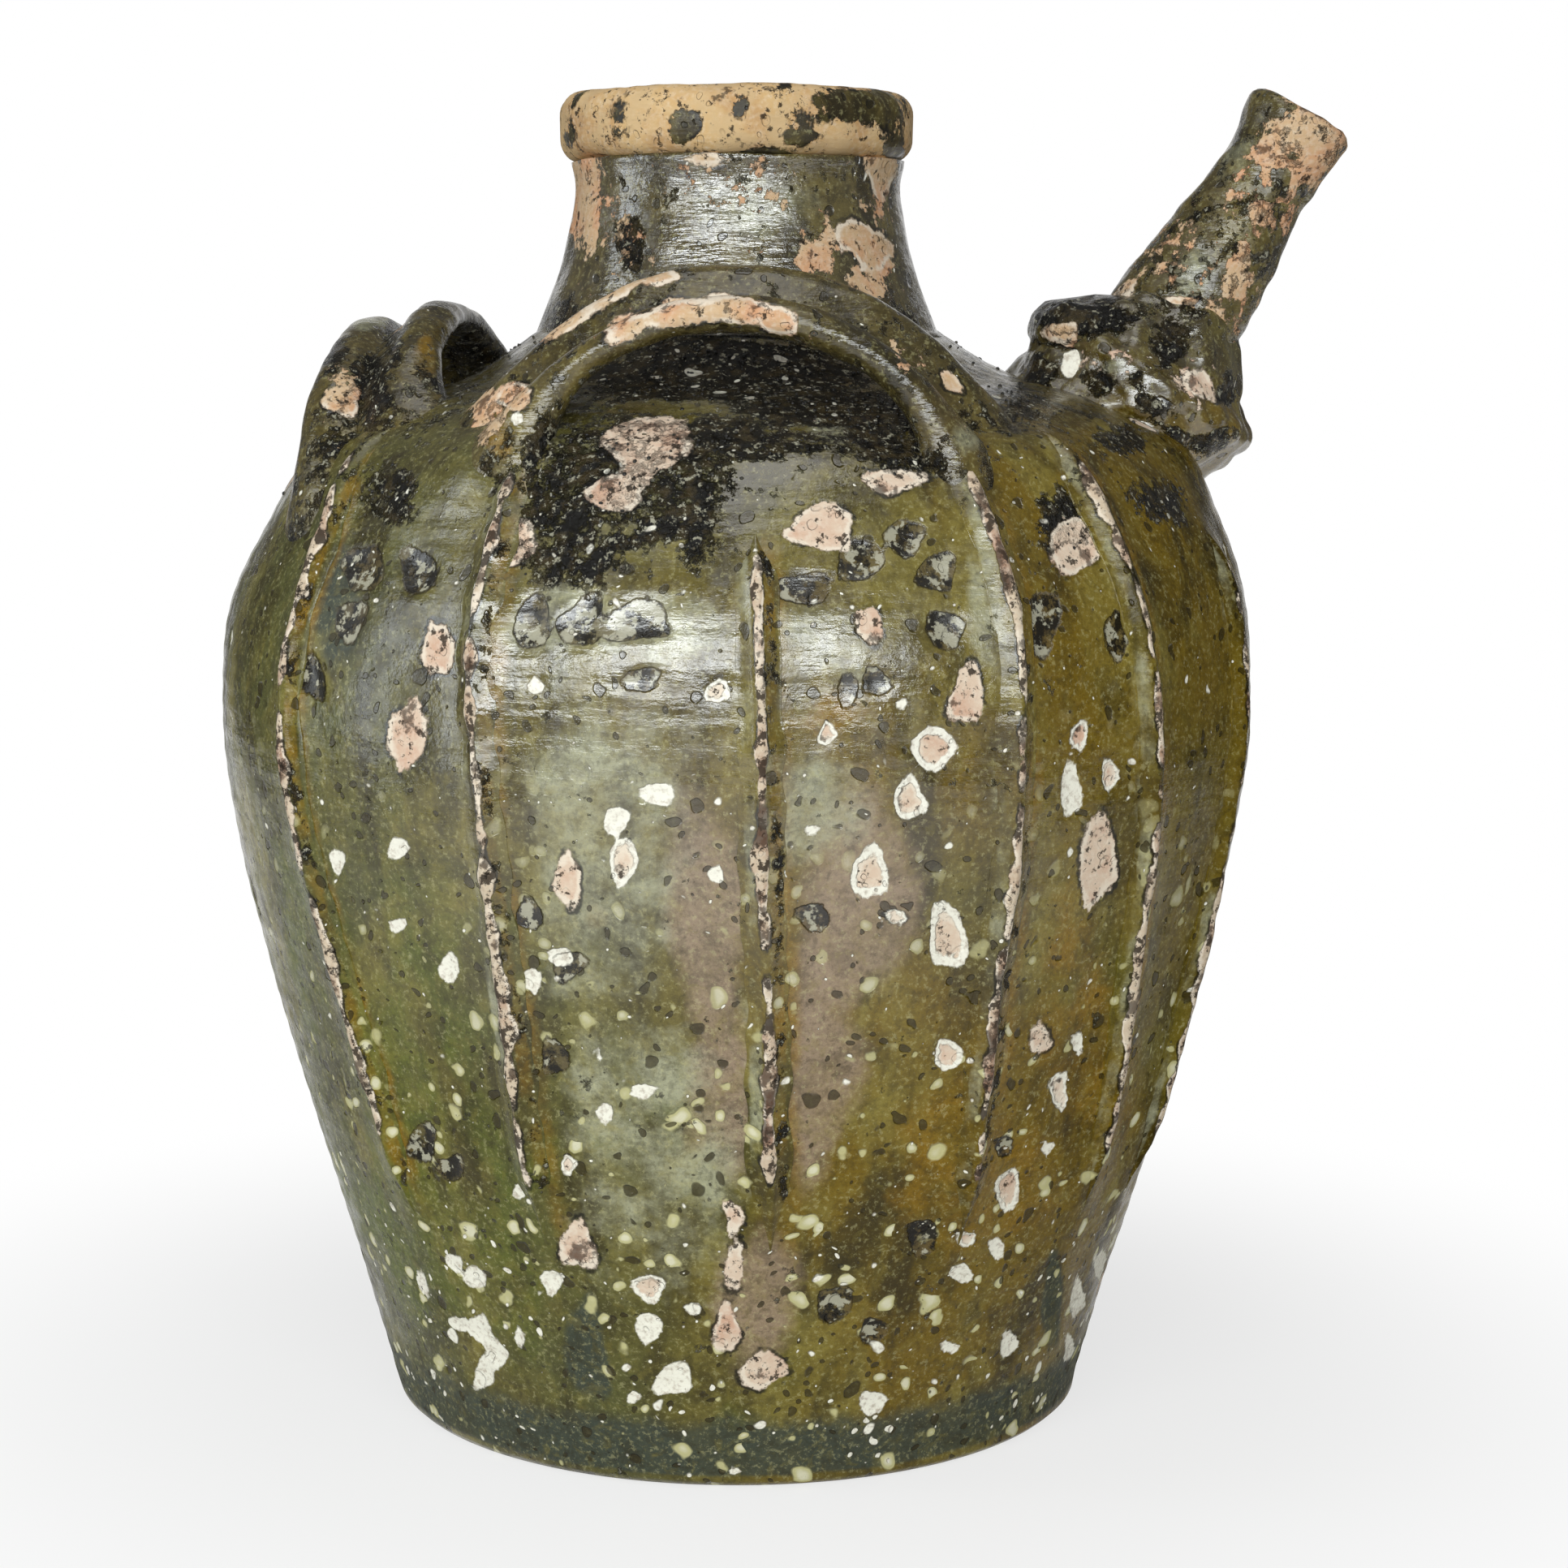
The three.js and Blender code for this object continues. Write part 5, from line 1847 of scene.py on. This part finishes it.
@dataclass
class Spout:
    """The spout on a body with its socket and lug: sizes in mm, along its leaning axis."""

    body: JarBody
    turning: TurningTree
    root_radius: float = 119.0
    lean: float = 30.0
    length: float = 107.0
    foot_radius: float = 18.0
    waist_radius: float = 15.0
    lip_radius: float = 16.8
    lip_flare: float = 20.0
    lip_round: float = 3.0
    bore_radius: float = 9.0
    sunk: float = 30.0
    socket_height: float = 40.0
    bell_radius: float = 36.0
    bell_height: float = 13.0
    socket_top_wall: float = 1.4
    socket_hidden: float = 3.0
    socket_sunk: float = 22.0
    socket_columns: int = 150
    socket_rows: int = 64
    lug_inner_radius: float = 89.0
    lug_length: float = 42.0
    lug_width: float = 46.0
    lug_rise: float = 26.5
    lug_sunk: float = 20.0
    lug_columns: int = 96
    lug_rows: int = 60
    lug_squareness: float = 3.2
    columns: int = 120
    rows: int = 90
    rear_bulge: float = 4.0
    worn_reach: float = 70.0
    seat_reach: float = 14.0
    seat_spread: float = 7.0
    finer: float = 3.5
    seed: int = 601

    def __post_init__(self) -> None:
        """Finds the height of the spout's root on the shoulder."""
        self.root = self.body.outline.height_at_radius(self.root_radius, self.body.belly_height)

    def build(self) -> None:
        """Builds the spout, its socket and its lug."""
        self._tube()
        self._socket()
        self._lug()

    def _leant(self, points: Array) -> Array:
        """Leans points towards the spout's side and moves them to its root.

        Args:
            points: Places along +Z from the root, in mm.

        Returns:
            The places on the jar.
        """
        lean = math.radians(self.lean)
        x = points[:, 0] * math.cos(lean) + points[:, 2] * math.sin(lean) + self.root_radius
        z = points[:, 2] * math.cos(lean) - points[:, 0] * math.sin(lean) + self.root
        return np.stack([x, points[:, 1], z], axis=1)

    def _tube(self) -> None:
        """Turns the tube with its thick lip and bore."""
        stations = (
            (self.foot_radius, 0.0),
            (self.foot_radius, self.sunk + self.socket_height),
            (self.waist_radius, self.length - self.socket_height - self.lip_flare),
            (self.lip_radius, self.lip_flare - self.lip_round),
        )
        outline = Outline(stations, -self.sunk)
        outside = outline.at(np.linspace(0.0, outline.length, self.rows))
        half_turn = np.linspace(0.0, math.pi, 9)[1:]
        middle = (self.lip_radius + self.bore_radius) / 2.0
        half = (self.lip_radius - self.bore_radius) / 2.0
        crown = self.length - self.lip_round + self.lip_round * np.sin(half_turn)
        lip = np.stack([middle + half * np.cos(half_turn), crown], axis=1)
        depths = [*(self.length * share for share in (0.9, 0.6, 0.3, 0.0)), -self.sunk]
        bore = np.array([(self.bore_radius, depth) for depth in depths])
        profile = np.vstack([outside, lip, bore, outside[:1]])
        piece = self.turning.turn("spout", profile, self.columns, DARK)
        roughen(piece, 0.7, self.seed, 26.0, self.finer)
        points = mesh_points(piece)
        outer = np.hypot(points[:, 0], points[:, 1]) > self.bore_radius + 2.0
        rear = np.clip(-points[:, 0] / self.foot_radius, 0.0, 1.0) * outer
        points[:, 0] -= self.rear_bulge * rear * ramp(points[:, 2], 92.0, 42.0)
        move_points(piece, self._leant(points))
        painter = Painter(piece)
        painter.mark_by_view(SPOUT_MARKS)
        tip = np.linalg.norm(painter.points - self._leant(np.array([[0.0, 0.0, self.length]]))[0], axis=1)
        hidden = np.clip(1.0 - tip / self.worn_reach, 0.15, 0.9)
        painter.lift(Mask.WEAR, np.where(painter.seen, 0.0, hidden))
        painter.lift(Mask.WEAR, 0.2)
        painter.lift(Mask.SOOT, 0.28)
        painter.store()
        fit(piece, Slot.DARK, "spout_tube")

    def _socket(self) -> None:
        """Turns the socket: a lumpy bell that tucks in again at the shoulder."""
        top = self.foot_radius + self.socket_top_wall
        slope = self.socket_height - self.bell_height
        stations = (
            (self.foot_radius, 0.0),
            (self.bell_radius, self.socket_sunk + self.bell_height),
            ((top + self.bell_radius) / 2.0, slope / 3.0),
            (top - 1.0, 2.0 * slope / 3.0),
        )
        outline = Outline(stations, -self.socket_sunk)
        outside = outline.at(np.linspace(0.0, outline.length, self.socket_rows))
        hidden = self.foot_radius - self.socket_hidden
        inside = np.array([(hidden, self.socket_height), (hidden, -self.socket_sunk)])
        profile = np.vstack([outside, inside, outside[:1]])
        piece = self.turning.turn("socket", profile, self.socket_columns, SOCKET)
        roughen(piece, 1.9, self.seed + 10, 26.0, self.finer)
        move_points(piece, self._leant(mesh_points(piece)))
        self._seat(piece)
        painter = Painter(piece)
        painter.mark_by_view(SOCKET_MARKS)
        crust = 0.3 + 0.2 * Waves(self.seed + 12, 40.0)(painter.points)
        painter.lift(Mask.SOOT, crust * ramp(painter.points[:, 2], 296.0, 325.0))
        painter.lift(Mask.SPECK, 0.4)
        painter.store()
        fit(piece, Slot.OLIVE, "spout_socket")

    def _seat(self, piece: Piece) -> None:
        """Spreads a piece's foot over the shoulder, except where it overhangs outwards.

        Args:
            piece: The piece.
        """
        points = mesh_points(piece)
        spread = self.body.smeared(points, mesh_normals(piece), self.seat_reach, self.seat_spread)
        share = ramp(points[:, 0], self.root_radius + 26.0, self.root_radius + 4.0)
        move_points(piece, points + (spread - points) * share[:, None])

    def _lug(self) -> None:
        """Shapes the lug: a rounded block with a groove along its sides."""
        shoulder = self.body.outline.height_at_radius(self.lug_inner_radius, self.body.belly_height)
        low, high = shoulder - self.lug_sunk, shoulder + self.lug_rise
        turns = np.linspace(0.0, 2.0 * math.pi, self.lug_columns, endpoint=False)
        power = self.lug_squareness
        squared = (np.abs(np.cos(turns)) ** power + np.abs(np.sin(turns)) ** power) ** (-1.0 / power)
        rings = []
        for level in np.linspace(-1.0, 1.0, self.lug_rows):
            pinch = (1.0 - abs(level) ** 5.0) ** 0.42
            groove = 1.0 - 0.1 * math.exp(-(((level - 0.36) / 0.1) ** 2))
            reach = squared * pinch * groove
            x = self.lug_inner_radius + self.lug_length / 2.0 + np.cos(turns) * reach * self.lug_length / 2.0
            y = np.sin(turns) * reach * self.lug_width / 2.0
            z = np.full_like(turns, (low + high) / 2.0 + level * (high - low) / 2.0)
            rings.append(np.stack([x, y, z], axis=1))
        inner = rings[1:-1]
        points = np.vstack([*inner, rings[0].mean(axis=0)[None], rings[-1].mean(axis=0)[None]])
        count = len(turns)
        faces = ring_faces(len(inner), count)
        bottom, top = len(inner) * count, len(inner) * count + 1
        last = (len(inner) - 1) * count
        faces += [((c + 1) % count, c, bottom) for c in range(count)]
        faces += [(last + c, last + (c + 1) % count, top) for c in range(count)]
        piece = link_mesh("lug", points, faces)
        face_outwards(piece)
        piece.data.materials.append(finish_of(DARK))
        roughen(piece, 1.1, self.seed + 20, 22.0, self.finer)
        self._seat(piece)
        painter = Painter(piece)
        painter.mark_by_view(LUG_MARKS)
        painter.lift(Mask.SOOT, 0.7 * ramp(painter.points[:, 2], high - 16.0, high - 4.0))
        painter.lift(Mask.SPECK, 0.4)
        painter.store()
        fit(piece, Slot.DARK, "spout_lug")


@dataclass
class Crust:
    """The crumbs of black crust on the body's soot: sizes in mm, crumbs per square metre."""

    density: float = 90000.0
    smallest: float = 0.25
    largest: float = 0.8
    black: Colour = tint(18, 16, 12)
    ash: Colour = tint(92, 84, 64)
    seed: int = 77

    def build(self, shell: Piece) -> None:
        """Scatters the crumbs over the soot of a body.

        Args:
            shell: The body's piece.
        """
        sizes = {"Smallest": self.smallest * MM, "Largest": self.largest * MM}
        values = {**sizes, "Density": self.density, "Seed": self.seed, "Finish": self._material()}
        fit(CrumbTree().run("crust_crumbs", shell.data.copy(), values), Slot.DARK)

    def _material(self) -> bpy.types.Material:
        """Makes the crumbs' finish: glassy black to ash brown.

        Returns:
            The material.
        """
        tree = ShaderTree("crust")
        level = tree.noise(340.0, 3.0)
        tree.dress("Base Color", tree.mix(tree.fade(level, 0.5, 0.72), self.black, self.ash))
        tree.dress("Roughness", tree.fade(level, 0.3, 0.7, 0.2, 0.6))
        return tree.material


@dataclass(frozen=True)
class Lamp:
    """A soft lamp that looks at the jar: angles in degrees from the front, sizes in metres, power in watts."""

    name: str
    azimuth: float
    elevation: float
    distance: float
    size: tuple[float, float]
    power: float
    colour: tuple[float, float, float]

    def hang(self, aim: float) -> None:
        """Hangs the lamp in the scene.

        Args:
            aim: The height that it looks at, in metres.
        """
        data = bpy.data.lights.new(self.name, "AREA")
        data.shape = "RECTANGLE"
        data.size, data.size_y = self.size
        data.energy = self.power
        data.color = self.colour
        lamp = bpy.data.objects.new(self.name, data)
        turn, rise = math.radians(self.azimuth), math.radians(self.elevation)
        flat = self.distance * math.cos(rise)
        lamp.location = (flat * math.sin(turn), -flat * math.cos(turn), aim + self.distance * math.sin(rise))
        lamp.rotation_euler = (math.pi / 2.0 - rise, 0.0, turn)
        show(lamp)


@dataclass
class Studio:
    """A pale floor, a white backdrop and soft lamps: sizes in metres."""

    floor_width: float = 1.5
    floor_front: float = 1.3
    back_width: float = 2.1
    backdrop_distance: float = 2.2
    backdrop_height: float = 1.2
    floor_tint: Colour = (0.86, 0.86, 0.85, 1.0)
    white: Colour = (1.0, 1.0, 1.0, 1.0)
    shadow_near: float = 0.14
    shadow_far: float = 0.4
    near_glow: float = 0.72
    ambient: float = 0.09
    mirrored_sky: float = 0.14
    lamp_aim: float = 0.25
    lamps: tuple[Lamp, ...] = (
        Lamp("key", -5.0, 17.0, 1.75, (2.5, 0.46), 31.0, (0.95, 0.99, 1.0)),
        Lamp("left_window", -80.0, 12.0, 1.5, (0.32, 1.2), 4.5, (0.9, 0.96, 1.0)),
        Lamp("overhead", -20.0, 78.0, 1.6, (1.1, 1.1), 6.0, (1.0, 1.0, 1.0)),
    )

    def build(self) -> None:
        """Builds the floor, the backdrop, the lamps and the world."""
        half, wide = self.floor_width / 2.0, self.back_width / 2.0
        front, back, top = self.floor_front, self.backdrop_distance, self.backdrop_height
        ground = [(-half, -front, 0.0), (half, -front, 0.0), (wide, back, 0.0), (-wide, back, 0.0)]
        sheet = [(-wide, back, 0.0), (wide, back, 0.0), (wide, back, top), (-wide, back, top)]
        paper = self._paper()
        for name, corners in (("floor", ground), ("backdrop", sheet)):
            piece = link_mesh(name, np.array(corners) / MM, [(0, 1, 2, 3)])
            piece.data.materials.append(paper)
        for lamp in self.lamps:
            lamp.hang(self.lamp_aim)
        world = bpy.data.worlds.new("studio")
        world.use_nodes = True
        tree = NodeTree(world.node_tree)
        sky = world.node_tree.nodes["Background"]
        sky.inputs["Color"].default_value = self.white
        tree.put(sky.inputs["Strength"], tree.most(self._seen(tree, self.mirrored_sky), self.ambient))
        bpy.context.scene.world = world
        bpy.context.scene.view_settings.view_transform = "Standard"

    @staticmethod
    def _seen(tree: NodeTree, mirrored: float) -> Socket:
        """Tells the rays that look at the background from those that it lights.

        Args:
            tree: The tree to add to.
            mirrored: How much of the background a mirrored ray sees.

        Returns:
            1 for the camera's rays, the mirrored level for reflections and 0 for the rest.
        """
        path = tree.add("ShaderNodeLightPath").outputs
        mirror = tree.most(path["Is Glossy Ray"], path["Is Transmission Ray"])
        return tree.most(path["Is Camera Ray"], tree.times(mirror, mirrored))

    def _paper(self) -> bpy.types.Material:
        """Makes the paper of the floor and the backdrop: white where it is looked at, shadowed by the jar.

        Returns:
            The material.
        """
        tree = ShaderTree("paper")
        for key, value in (("Base Color", self.floor_tint), ("Roughness", 0.9), ("Specular IOR Level", 0.1)):
            tree.dress(key, value)
        white = tree.add("ShaderNodeEmission", {"Color": self.white}).outputs[0]
        x, y, _ = tree.split(tree.coords)
        away = tree.math("SQRT", tree.onto(tree.times(y, y), x, x))
        glow = tree.fade(away, self.shadow_near, self.shadow_far, self.near_glow, 1.0)
        share = tree.times(self._seen(tree, 1.0), glow)
        mix = tree.add("ShaderNodeMixShader", {0: share, 1: tree.shader.outputs[0], 2: white})
        tree.put(tree.tree.nodes["Material Output"].inputs["Surface"], mix.outputs[0])
        return tree.material


def main() -> None:
    """Builds the jar's parts in order and reports each piece."""
    logging.basicConfig(level=logging.INFO, format="%(name)s %(message)s")
    VIEW.camera()
    turning = TurningTree()
    body = JarBody(turning)
    shell = body.build()
    Strips(body).build(StripTree())
    NeckAndRim(body, turning).build()
    Handles(body).build()
    Spout(body, turning).build()
    Crust().build(shell)
    Studio().build()


if __name__ == "__main__":
    main()
